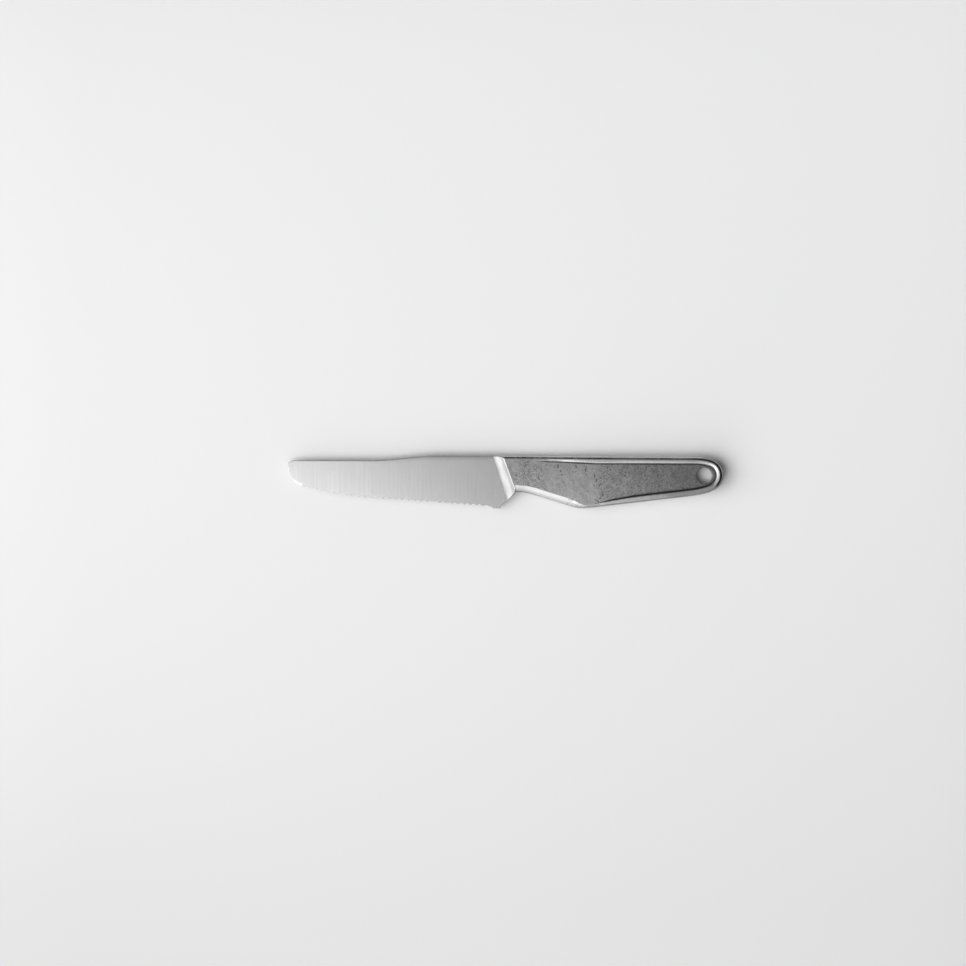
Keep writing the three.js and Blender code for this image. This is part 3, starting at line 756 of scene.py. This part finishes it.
def toothEdge(toothEnd, bellyEnd, noseEnd):
    shape, steps = bladeShape, bladeSteps
    third = shape["bellyLength"] / 3
    slope = (toothEnd.y - bellyEnd.y) / (toothEnd.x - bellyEnd.x)
    belly = curveOf(bellyEnd, bellyEnd - Vector((third, third * slope)),
                    noseEnd + Vector((third, -third * shape["noseEndSlope"])), noseEnd, steps["belly"])
    toothed = joined(lineOf(toothEnd, bellyEnd, steps["straight"]), belly)
    length = lengthsAlong(toothed)[-1]
    teeth = int(length / shape["toothPitch"])
    count = teeth * steps["tooth"]
    used = teeth * shape["toothPitch"] / length
    found = []
    for i, p in enumerate(pointsAlong(toothed, [used * i / count for i in range(count + 1)])):
        across = (i % steps["tooth"]) / steps["tooth"] - 0.5
        fromNose = p.x + shape["length"] - shape["noseLength"]
        faint = lerp(shape["tipTeeth"], 1.0, ease(fromNose / shape["bellyLength"]))
        found.append((p, "tooth", faint * scallop(across * shape["toothPitch"]), 0.0))
    return found


def noseEdge(lastTooth, noseEnd):
    shape, steps = bladeShape, bladeSteps
    noseTop = Vector((-shape["length"], -shape["noseDepth"]))
    cornerLow = Vector((-shape["length"], -shape["spineDrop"] - shape["tipCornerDepth"]))
    lead = shape["noseEndLead"]
    noseRound = curveOf(noseEnd, noseEnd + Vector((-lead, lead * shape["noseEndSlope"])),
                        noseTop - Vector((0.0, shape["noseLead"])), noseTop, steps["nose"])
    nose = joined([lastTooth, noseEnd], noseRound, lineOf(noseTop, cornerLow, steps["noseTop"]))
    lengths = lengthsAlong(nose)
    found = []
    for p, s in list(zip(nose, lengths))[1:]:
        left = lengths[-1] - s - shape["bevelStop"]
        bevel = shape["noseBevel"] * ease(s / shape["bevelGrow"]) * ease(left / shape["bevelFade"])
        found.append((p, "nose", 0.0, bevel))
    return found


def edgeLine():  # from the bolster to the nose
    shape = bladeShape
    noseEnd = Vector((shape["noseLength"] - shape["length"], -shape["noseEndDepth"]))
    bellyEnd = Vector((noseEnd.x + shape["bellyLength"], -shape["bellyEndDepth"]))
    toothEnd = Vector((-shape["heelLand"] - shape["heelRamp"], -shape["toothEndDepth"]))
    heel = Vector((0.0, -shape["heelDepth"]))
    landEnd = Vector((-shape["heelLand"], -shape["heelDepth"]))
    teeth = toothEdge(toothEnd, bellyEnd, noseEnd)
    return heelEdge(heel, landEnd, toothEnd) + teeth + noseEdge(teeth[-1][0], noseEnd)


def ladderStarts(spine, edge):  # where on the spine each ladder line starts
    shape = bladeShape
    lengths = lengthsAlong(spine)
    noseStart = next(i for i, e in enumerate(edge) if e[1] == "nose")
    rearCount = next(i for i, e in enumerate(edge) if e[0].x < shape["squareFrom"])
    startX = spine[0].x
    reach = []
    for i, (p, kind, scoop, bevel) in enumerate(edge):
        if i < rearCount:
            reach.append(startX - lerp(startX, edge[rearCount][0].x, i / rearCount))
        elif i < noseStart:
            k = next(k for k, q in enumerate(spine) if q.x <= p.x)
            share = (spine[k - 1].x - p.x) / (spine[k - 1].x - spine[k].x)
            reach.append(lerp(lengths[k - 1], lengths[k], share))
        else:
            share = (i - noseStart + 1) / (len(edge) - noseStart)
            share *= lerp(1.0, share * share, shape["noseFan"])
            reach.append(lerp(reach[noseStart - 1], lengths[-1], share))
    return pointsAlong(spine, [r / lengths[-1] for r in reach])


def slantOf(way, along):  # how much longer a bevel is along a ladder line than square to the edge
    along = along.normalized()
    return 1.0 / max(abs(way.x * along.y - way.y * along.x), bladeShape["leastSlant"])


def edgeForm(kind, bevel, half, slant):  # front and back: how wide the ground band is, and z at the edge
    shape = bladeShape
    if kind == "plain":
        fall = shape["edgeFall"] * bevel
        return (bevel, half - fall), (bevel, fall - half)
    ground = 2.0 * half / math.tan(math.radians(shape["gulletAngle"]))
    land = half - shape["toothLand"]
    if kind == "tooth":
        return (shape["toothBand"], land), (ground, land)
    settle = ease(bevel / shape["noseBevel"])
    frontBand = max(bevel, shape["toothBand"]) * slant
    frontEdge = half - lerp(shape["toothLand"], shape["noseLand"], settle)
    backBand = lerp(ground, shape["noseBevel"] * slant, settle)
    return (frontBand, frontEdge), (backBand, lerp(land, shape["noseLand"] - half, settle))


def bladeRow(start, way, length, radius, band, lastZ, side):  # one face of the blade along a ladder line
    shoulder = [radius * (1.0 - math.cos(quarter(t))) for t in evenly(bladeSteps["shoulder"])]
    flat = [lerp(radius, length - band, t) for t in evenly(bladeSteps["face"], 1)]
    row = []
    for s in shoulder + flat:
        p = start + way * s
        z = roundedOff(bladeHalf(p.x, p.y), s, radius) if s < radius else bladeHalf(p.x, p.y)
        row.append((p.x, p.y, side * z))
    tip = start + way * length
    return row + [(tip.x, tip.y, lastZ)]


def makeBlade():
    shape = bladeShape
    edge = edgeLine()
    starts = ladderStarts(spineLine(), edge)
    rings = []
    for i, (start, (end, kind, scoop, bevel)) in enumerate(zip(starts, edge)):
        way = end - start
        length = max(way.length, shape["shortest"])
        way = way / length
        length -= scoop
        edgeSlant = spineSlant = 1.0
        if kind == "nose" and i < len(edge) - 1:
            edgeSlant = slantOf(way, edge[i + 1][0] - edge[i - 1][0])
            spineSlant = slantOf(way, starts[i + 1] - starts[i - 1])
        room = length * lerp(shape["roomTeeth"], shape["roomNose"], ease(bevel / shape["noseBevel"]))
        radius = min(shape["spineRound"] * spineSlant, room)
        front, back = edgeForm(kind, bevel, bladeHalf(end.x, end.y), edgeSlant)
        ring = bladeRow(start, way, length, radius, min(front[0], room), front[1], 1.0)
        ring += reversed(bladeRow(start, way, length, radius, min(back[0], room), back[1], -1.0))
        rings.append(ring)
    return ringedPiece(rings, "bladeBody", "blade", "satin_blade", satinSteel, meshRules["crispAngle"])


blade = makeBlade()


# handle: rails along the outline, clockwise from the bolster's top, and the web inside them

def webHalf(x):
    shape = handleShape
    share = (x - bolsterShape["rear"]) / (shape["length"] - bolsterShape["rear"])
    return restHalf - lerp(shape["bolsterStep"], shape["rimDepth"], share)


def handleStretches():
    shape, steps = handleShape, handleSteps
    forward = Vector((-1.0, 0.0))
    topStart = Vector((-shape["topOverrun"], 0.0))
    topRear = Vector((shape["length"] - shape["topBlend"], -shape["topFall"]))
    bellyRear = Vector((shape["length"] - shape["bellyBlend"], -shape["bellyRearDepth"]))
    butt = Vector((shape["length"] - shape["buttRadius"], -shape["buttDepth"]))
    peak = Vector((shape["bellyCorner"], -shape["bellyCornerDepth"]))
    rise = Vector((shape["fingerRiseEnd"], -shape["fingerRiseDepth"]))
    front = Vector((rearFaceX(-shape["fingerDepth"], -shape["startInside"]), -shape["fingerDepth"]))
    topWay = (topRear - topStart).normalized()
    bellyWay = (peak - bellyRear).normalized()
    fingerWay = (rise - peak).normalized()
    arc = shape["buttArc"]
    arcTop = butt + heading(arc) * shape["buttRadius"]
    arcLow = butt + heading(-arc) * shape["buttRadius"]
    startX = bolsterShape["rear"] - shape["startInside"]
    begin = topStart.lerp(topRear, (startX - topStart.x) / (topRear.x - topStart.x))
    cornerStart = peak - bellyWay * shape["bellyCornerTangent"]
    cornerEnd = peak + fingerWay * shape["bellyCornerTangent"]
    fingerPull = rise + fingerWay * shape["fingerEase"]
    frontPull = front - forward * shape["fingerEase"]
    topPull = meeting(topRear, topWay, arcTop, heading(arc - 90.0))
    bellyPull = meeting(arcLow, heading(-arc - 90.0), bellyRear, bellyWay)
    return {
        "spine": joined(
            lineOf(begin, topRear, steps["top"]),
            bendOf(topRear, topPull, arcTop, steps["blend"])),
        "butt": arcOf(butt, shape["buttRadius"], arc, -arc, steps["butt"]),
        "belly": joined(
            bendOf(arcLow, bellyPull, bellyRear, steps["blend"]),
            lineOf(bellyRear, cornerStart, steps["belly"])),
        "finger": joined(
            bendOf(cornerStart, peak, cornerEnd, steps["corner"]),
            lineOf(cornerEnd, rise, steps["finger"]),
            curveOf(rise, fingerPull, frontPull, front, steps["fingerEase"])),
    }


def rimRise(x, start, slow=0.0):  # slow is the share of the length over which the rim rises gently at first
    share = clamp((x - start) / (handleShape["rimFull"] - start))
    return math.sin(share * math.pi / 2) * (ease(share / slow) if slow else 1.0)


def turnShare(x):  # 0 along the spine, 1 where it has turned into the butt
    return grow(x, *handleShape["turn"])


def buttShare(y):  # 0 on the belly, 1 round the butt
    return grow(y, *handleShape["buttDepths"])


sizeNames = ("width", "foot", "crest", "band", "lean", "round", "rise")


def railSizes(name, x, y):  # width, foot of the raised part, crest, its band and lean, outer rounding, rise
    shape = handleShape
    cornerFront = shape["bellyCorner"] + shape["bellyCornerTangent"]
    width, rounding = shape["railWidth"], shape["railRound"]
    broad = buttShare(y)
    crest = lerp(shape["crestBelly"], shape["crestRear"], broad)
    crest = lerp(crest, shape["crestTurn"], grow(y, *shape["crestTurnDepths"]))
    band = lerp(shape["bandBelly"], shape["bandWide"], broad)
    lean = lerp(0.0, shape["buttLean"], broad)
    if name == "spine":
        grown = clamp((x - shape["footFrom"]) / (shape["footTo"] - shape["footFrom"]))
        turned = turnShare(x)
        foot = lerp(shape["footFront"], shape["footRear"], grown)
        alongSpine = lerp(shape["crestFront"], shape["crestRear"], grown)
        crest = lerp(alongSpine, crest, clamp(shape["crestTurnSpeed"] * turned))
        band = lerp(shape["bandThin"], band, grown * grown)
        lean = shape["bandLean"] * grow(x, *shape["leanGrows"])
        lean = lerp(lean, shape["buttLean"], turned)
        rise = rimRise(x, shape["spineRimStart"], shape["spineRimSlow"])
        return width, foot, crest, band, lean, rounding, rise
    if name == "butt":
        return width, lerp(shape["footBelly"], shape["footRear"], broad), crest, band, lean, rounding, 1.0
    if name == "belly":
        share = 1.0 - (1.0 - clamp((x - cornerFront) / shape["bellyRun"])) ** shape["bellyPower"]
        width = lerp(shape["cornerWidth"], width, share)
        foot = lerp(shape["cornerWidth"], shape["footBelly"], share)
        foot = lerp(foot, shape["footRear"], broad)
        band = lerp(shape["bandThin"], band, share)
        crest = lerp(shape["cornerWidth"], crest, ease((x - cornerFront) / shape["cornerCrestRun"]))
        return width, foot, crest, band, lean, rounding, rimRise(x, shape["bellyRimStart"])
    share = ease((x - cornerFront + shape["cornerRun"]) / shape["cornerRun"])
    width = lerp(shape["fingerWidth"], shape["cornerWidth"], share)
    return width, width, width, 0.0, 0.0, lerp(shape["fingerRound"], rounding, share), 0.0


def makeStations(stretches):  # places along the rails, each with its sizes and the way inward
    path = joined(*stretches.values())
    found = {}
    first = 0
    for name, stretch in stretches.items():
        found[name] = []
        for i in range(first, first + len(stretch)):
            along = (path[min(i + 1, len(path) - 1)] - path[max(i - 1, 0)]).normalized()
            outer = path[i]
            station = dict(zip(sizeNames, railSizes(name, outer.x, outer.y)))
            found[name].append(dict(station, outer=outer, inward=Vector((along.y, -along.x))))
        first += len(stretch) - 1
    for station in found["spine"] + found["finger"]:
        fromBolster = station["outer"].x - rearFaceX(station["outer"].y)
        station["slant"] = 1.0 - ease(fromBolster / handleShape["slantLength"])
    return found


stations = makeStations(handleStretches())


def railPoint(station, distance):
    p = station["outer"] + station["inward"] * distance
    slant = station.get("slant", 0.0)
    return Vector((p.x + slant * (station["outer"].y - p.y) * math.tan(tilt), p.y))


def creaseShade(away, risen):
    return handleShape["creaseShade"] * risen * (1.0 - ease(away / handleShape["creaseReach"]))


def railFinish(name, x, y):
    share, start = (turnShare(x), "spineFinish") if name == "spine" else (buttShare(y), "bellyFinish")
    return [lerp(a, b, share) for a, b in zip(handleShape[start], handleShape["buttFinish"])]


# half sections of a rail: inset from the outline, height, wear with painted light and shade, and dullness
# with painted shade

def fingerSection(station, top, rounding):  # a bevel that starts with a crisp line and turns down to the side
    shape = handleShape
    narrow, wide = shape["cornerWidth"], shape["fingerWidth"]
    tipped = shape["fingerTilt"] * (station["width"] - narrow) / (wide - narrow)
    shade = lerp(shape["frontShade"], 1.0, grow(station["outer"].x, *shape["frontFade"]))
    section = []
    for i, t in enumerate(evenly(handleSteps["bevel"])):
        flat, steep = math.sin(quarter(t)), math.cos(quarter(t))
        fall = lerp(1.0 - flat, steep, tipped * flat)
        # painted shade on the bevel's outer side, deeper by the bolster
        shaded = shade * (1.0 - ease((i - shape["sideSteps"]) / shape["sideFade"]))
        section.append((station["crest"] * (1.0 - steep), top - rounding * fall, shaded, shape["fingerDull"]))
    return section


def raisedSection(station, name, top, rounding):  # shoulder, crest band, inner slope and a flat on the web
    shape, steps = handleShape, handleSteps
    width, foot, crest, band, lean, _, rise = (station[k] for k in sizeNames)
    x = station["outer"].x
    web = webHalf(x)
    risen = clamp(rise * shape["rimSpeed"])
    ridge, creaseShaded = risen, risen
    if name == "spine":
        ridge = clamp(rise * shape["ridgeSpeed"])
        creaseShaded = clamp((x - shape["spineRimStart"]) / shape["shadeRun"])
    sideWearAndPaintedLight, shoulderLineDark, lineFrom, creaseShadeFrom = railFinish(name, x, station["outer"].y)
    crestWear = lerp(shape["flatWear"], 1.0, ridge)
    section = []
    for i, t in enumerate(evenly(steps["shoulder"])):
        turn = quarter(t)
        # the outer side is partly painted: a bright reflection on the spine and belly, shade on the butt; the
        # dark line along the shoulder is a painted reflection
        wearAndPaintedLight = lerp(sideWearAndPaintedLight, crestWear, ease(t))
        paintedShadeAndDull = shoulderLineDark * math.sin(math.pi * clamp((i - lineFrom) / shape["lineSteps"]))
        section.append((crest * (1.0 - math.cos(turn)), top - rounding * (1.0 - math.sin(turn)), wearAndPaintedLight, paintedShadeAndDull))
    start = crest + band
    low = lerp(top, max(top - band * math.tan(math.radians(lean)), web), risen)
    for t in evenly(steps["band"], 1):
        section.append((lerp(crest, start, t), lerp(top, low, t ** shape["bandCurve"]), crestWear, 0.0))
    for t in evenly(steps["slope"], 1):
        turn = quarter(t)
        wearAndPaintedLight = risen * risen * (1.0 - ease((t - shape["slopeWearTo"]) / shape["slopeWearFade"]))
        # painted shade in the crease at the foot of the slope and on the web beside it
        paintedShadeAndDull = shape["creaseShade"] * creaseShaded * ease((t - creaseShadeFrom) / shape["shadeFade"])
        section.append((lerp(start, foot, math.sin(turn)), lerp(web, low, math.cos(turn)), wearAndPaintedLight, paintedShadeAndDull))
    for t in evenly(steps["flat"], 1):
        d = lerp(foot, width, t)
        section.append((d, web, 0.0, creaseShade(d - foot, creaseShaded)))
    return section


def railUpper(station, name):
    top = lerp(webHalf(station["outer"].x), restHalf, station["rise"])
    rounding = min(station["round"], top - handleShape["sideLand"])
    if name == "finger":
        section = fingerSection(station, top, rounding)
    else:
        section = raisedSection(station, name, top, rounding)
    return [(*railPoint(station, d), z, wearAndPaintedLight, paintedShadeAndDull) for d, z, wearAndPaintedLight, paintedShadeAndDull in section]


def makeRail(name, pieceName, node, slot, material):
    rings = [mirrored(railUpper(station, name)) for station in stations[name]]
    return ringedPiece(rings, pieceName, node, slot, material)


spineRail = makeRail("spine", "spineRail", "spine_rail", "rail_steel", railSteel)
buttLoop = makeRail("butt", "buttLoop", "butt_loop", "rail_steel", railSteel)
bellyRail = makeRail("belly", "bellyRail", "belly_rail", "rail_steel", railSteel)
fingerRail = makeRail("finger", "fingerRail", "finger_rail", "polished_steel", polishedSteel)


# web: a ladder from the bolster to the hole, and a ring of quads round the hole

webLook = {
    "columns": 230, "rows": 36, "ringSteps": 14, "lipSteps": 6, "beforeHole": 2.6,
    "dent": 0.035, "dentCells": 0.45, "smallDents": 0.6, "smallCells": 1.3,  # soft dents of the forging
    "dentBorder": 1.5,  # none this close to the rails and the hole
    "shadeRun": 6.0,
    "farOff": 9.0,  # stands for a border that isn't near
    "holeShade": 2.0,  # how much sooner the painted crease shade ends beside the hole
    "onCut": 0.6, "sameY": 5, "sameX": 1e-4,  # what counts as on the ladder's last line
}


def innerLine():
    line = []
    for name in stations:
        line += stations[name][:-1]
    line.append(stations["finger"][-1])
    return [railPoint(station, station["width"]) for station in line]


def webPoint(p, toTop, toLow, toHole=webLook["farOff"]):  # distances to upper rail, lower rail and hole
    shape, look = handleShape, webLook
    dent = look["dent"] * ease(min(toTop, toLow, toHole) / look["dentBorder"])
    spot = Vector((p.x, p.y, 0.0))
    rough = noise.noise(spot * look["dentCells"])
    rough += look["smallDents"] * noise.noise(spot * look["smallCells"])
    margin = shape["railWidth"] - shape["footRear"]
    topRise = clamp(rimRise(p.x, shape["spineRimStart"]) * shape["rimSpeed"])
    topRise *= ease((p.x - shape["footTo"]) / look["shadeRun"] + 1.0)
    lowRise = clamp(rimRise(p.x, shape["bellyRimStart"]) * shape["rimSpeed"])
    # painted shade in the crease beside the rails
    paintedShadeAndDull = max(creaseShade(toTop + margin, topRise), creaseShade(toLow + margin, lowRise))
    return (p.x, p.y, webHalf(p.x) + dent * rough, 0.0, paintedShadeAndDull)


def holeFan(p, hole, radius, cutX):  # points from the web's border to the hole, and over its lip
    shape, look = handleShape, webLook
    lip = shape["holeLip"]
    way = (p - hole).normalized()
    rim = hole + way * (radius + lip)
    onRail = abs(p.x - cutX) > look["onCut"]
    fan = []
    for q in lineOf(p, rim, look["ringSteps"]):
        toRail = look["holeShade"] * (q - p).length if onRail else look["farOff"]
        toRim = (q - rim).length
        x, y, z, _, paintedShadeAndDull = webPoint(q, toRail, toRail, toRim)
        # a painted highlight on the rim's side towards the butt
        wearAndPaintedLight = shape["holeRimHighlight"] * max(way.x, 0.0) * ease(1.0 - toRim / shape["holeWearReach"])
        fan.append((x, y, z, wearAndPaintedLight, paintedShadeAndDull))
    for t in evenly(look["lipSteps"], 1):
        turn = quarter(t)
        q = hole + way * (radius + lip * (1.0 - math.sin(turn)))
        z = webHalf(q.x) - lip * (1.0 - math.cos(turn))
        fan.append((q.x, q.y, z, shape["boreWear"] * ease(t), 0.0))
    return fan


def makeWeb():
    shape, look = handleShape, webLook
    radius = shape["holeDiameter"] / 2
    fromButt = shape["railWidth"] + shape["seam"] + shape["holeRim"] + radius
    hole = Vector((shape["length"] - fromButt, -shape["buttDepth"] - shape["holeDrop"]))
    cutX = hole.x - radius - look["beforeHole"]
    line = innerLine()
    topCut = next(i for i, p in enumerate(line) if p.x > cutX)
    lowCut = next(i for i in range(len(line) - 1, 0, -1) if line[i].x > cutX)
    shares = evenly(look["columns"])
    tops = pointsAlong(line[:topCut + 1], shares)
    lows = pointsAlong(list(reversed(line[lowCut:])), shares)
    ladder = []
    for a, b in zip(tops, lows):
        ladder.append([webPoint(p, (p - a).length, (p - b).length) for p in lineOf(a, b, look["rows"])])
    # the ring's outer loop: along the rails from top to bottom, then back up the last ladder line
    around = line[topCut:lowCut + 1]
    back = [Vector(p[:2]) for p in reversed(ladder[-1])]
    fans = [holeFan(p, hole, radius, cutX) for p in joined(around, back)[:-1]]
    bore = [[fan[-1], (*fan[-1][:2], -fan[-1][2], *fan[-1][3:])] for fan in fans]
    onLadder = {round(p[1], look["sameY"]): p for p in ladder[-1]}
    for fan in fans:  # both patches share the heights along the line between them
        match = onLadder.get(round(fan[0][1], look["sameY"]))
        if match and abs(match[0] - fan[0][0]) < look["sameX"]:
            fan[0] = match
    border = list(reversed(lows)) + tops + around[1:-1]
    bm = bmesh.new()
    for side in (1.0, -1.0):
        for sheet, closed in ((ladder, False), (fans, True)):
            addSheet(bm, [[(p[0], p[1], side * p[2], *p[3:]) for p in row] for row in sheet], closed)
    addSheet(bm, bore, closed=True)
    addSheet(bm, [[(p.x, p.y, webHalf(p.x)), (p.x, p.y, -webHalf(p.x))] for p in border], closed=True)
    return finishPiece(bm, "webPanel", "handle_web", "forged_skin", forgedSkin)


handleWeb = makeWeb()


# floor, light and camera

stageLook = {
    "floorSize": 14.0, "floorGrey": 0.82, "floorRough": 0.85, "floorShine": 0.1,
    "toRight": 0.45, "toTop": 0.4, "evenFrom": 0.2,  # painted light: how much paler per metre the floor gets towards the right and the top, evening out the lamps' falloff, and as far as where
}


def makeFloor():
    look = stageLook
    bm = bmesh.new()
    bmesh.ops.create_grid(bm, x_segments=4, y_segments=4, size=look["floorSize"] / 2)
    mesh = bpy.data.meshes.new("floor")
    bm.to_mesh(mesh)
    bm.free()
    material, tree, shader = newMaterial("paleFloor")
    level = look["floorGrey"]
    reach = look["evenFrom"]
    # painted light: paler towards the right and the top
    for axis, change in (("X", look["toRight"]), ("Y", look["toTop"])):
        inputs = {
            "Value": objectAxis(tree, axis), "From Min": -reach, "From Max": reach,
            "To Min": 1.0 - change * reach, "To Max": 1.0 + change * reach,
        }
        paler = addNode(tree, "ShaderNodeMapRange", inputs).outputs["Result"]
        level = times(tree, paler, level)
    tree.links.new(toColour(tree, level), shader.inputs["Base Color"])
    shader.inputs["Roughness"].default_value = look["floorRough"]
    shader.inputs["Specular IOR Level"].default_value = look["floorShine"]
    mesh.materials.append(material)
    floor = bpy.data.objects.new("floor", mesh)
    bpy.context.scene.collection.objects.link(floor)
    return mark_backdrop(floor)


lightLook = {
    "lobes": (  # soft lobes of the surrounding light: elevation, azimuth, level
        (64.0, 195.0, 1.34), (38.0, 189.0, 2.15), (12.0, 90.0, 0.5), (12.0, 240.0, 2.85),
    ),
    "lobeSharpness": 10.0,
    "glows": ((28.0, 310.0, 0.5), (33.0, 45.0, 0.32)),  # dim lobes that only the steel mirrors
    "glowSharpness": 7.0,
    "boxes": (  # round soft boxes: elevation, azimuth, distance, size, level
        (68.0, 222.0, 0.9, 0.34, 1.67), (68.0, 240.0, 0.9, 0.34, 2.35), (60.0, 200.0, 0.6, 0.5, 0.20),
        (40.0, 180.0, 0.6, 0.6, 1.47), (60.0, 260.0, 0.6, 0.5, 0.49),
    ),
}


def towards(elevation, azimuth):
    flat = heading(azimuth) * math.cos(math.radians(elevation))
    return Vector((flat.x, flat.y, math.sin(math.radians(elevation))))


def makeBox(name, elevation, azimuth, distance, size, level):
    lamp = bpy.data.lights.new(name, "AREA")
    lamp.shape = "DISK"
    lamp.size = size
    lamp.energy = level * math.pi * math.pi * (size / 2) ** 2
    box = bpy.data.objects.new(name, lamp)
    way = towards(elevation, azimuth)
    box.location = way * distance
    box.rotation_euler = way.to_track_quat("Z", "Y").to_euler()
    bpy.context.scene.collection.objects.link(box)
    return box


def makeLight():
    look = lightLook
    world = bpy.data.worlds.new("studio")
    bpy.context.scene.world = world
    world.use_nodes = True
    tree = world.node_tree
    direction = addNode(tree, "ShaderNodeTexCoord").outputs["Generated"]
    mirrorRay = addNode(tree, "ShaderNodeLightPath").outputs["Is Glossy Ray"]
    lobes = [(*lobe, look["lobeSharpness"]) for lobe in look["lobes"]]
    glows = [(*glow, look["glowSharpness"]) for glow in look["glows"]]
    level = 0.0
    for i, (elevation, azimuth, strength, sharpness) in enumerate(lobes + glows):
        inputs = {0: direction, 1: tuple(towards(elevation, azimuth))}
        facing = addNode(tree, "ShaderNodeVectorMath", inputs, operation="DOT_PRODUCT").outputs["Value"]
        away = times(tree, minus(tree, facing, 1.0), sharpness)
        lobe = addNode(tree, "ShaderNodeMath", {0: away}, operation="EXPONENT").outputs["Value"]
        lobe = times(tree, lobe, strength)
        if i >= len(lobes):
            lobe = times(tree, lobe, mirrorRay)
        level = plus(tree, level, lobe)
    tree.links.new(toColour(tree, level), tree.nodes["Background"].inputs["Color"])
    return [makeBox("softBox%d" % i, *box) for i, box in enumerate(look["boxes"])]


cameraLook = {
    "frameWidth": 0.4555,  # metres across the picture, at the middle of the knife
    "lens": 100.0, "sensor": 36.0,
    "aimX": -8.11, "aimY": -12.87,  # middle of the picture, in the drawing
}


def makeCamera():
    look = cameraLook
    data = bpy.data.cameras.new("camera")
    data.lens = look["lens"]
    data.sensor_width = look["sensor"]
    camera = bpy.data.objects.new("camera", data)
    distance = look["frameWidth"] * look["lens"] / look["sensor"]
    camera.location = place(look["aimX"], look["aimY"], 0.0) + Vector((0.0, 0.0, distance))
    bpy.context.scene.collection.objects.link(camera)
    bpy.context.scene.camera = camera
    return camera


floor = makeFloor()
softBoxes = makeLight()
camera = makeCamera()
bpy.context.scene.view_settings.view_transform = "Standard"
print("stage, light and camera set")
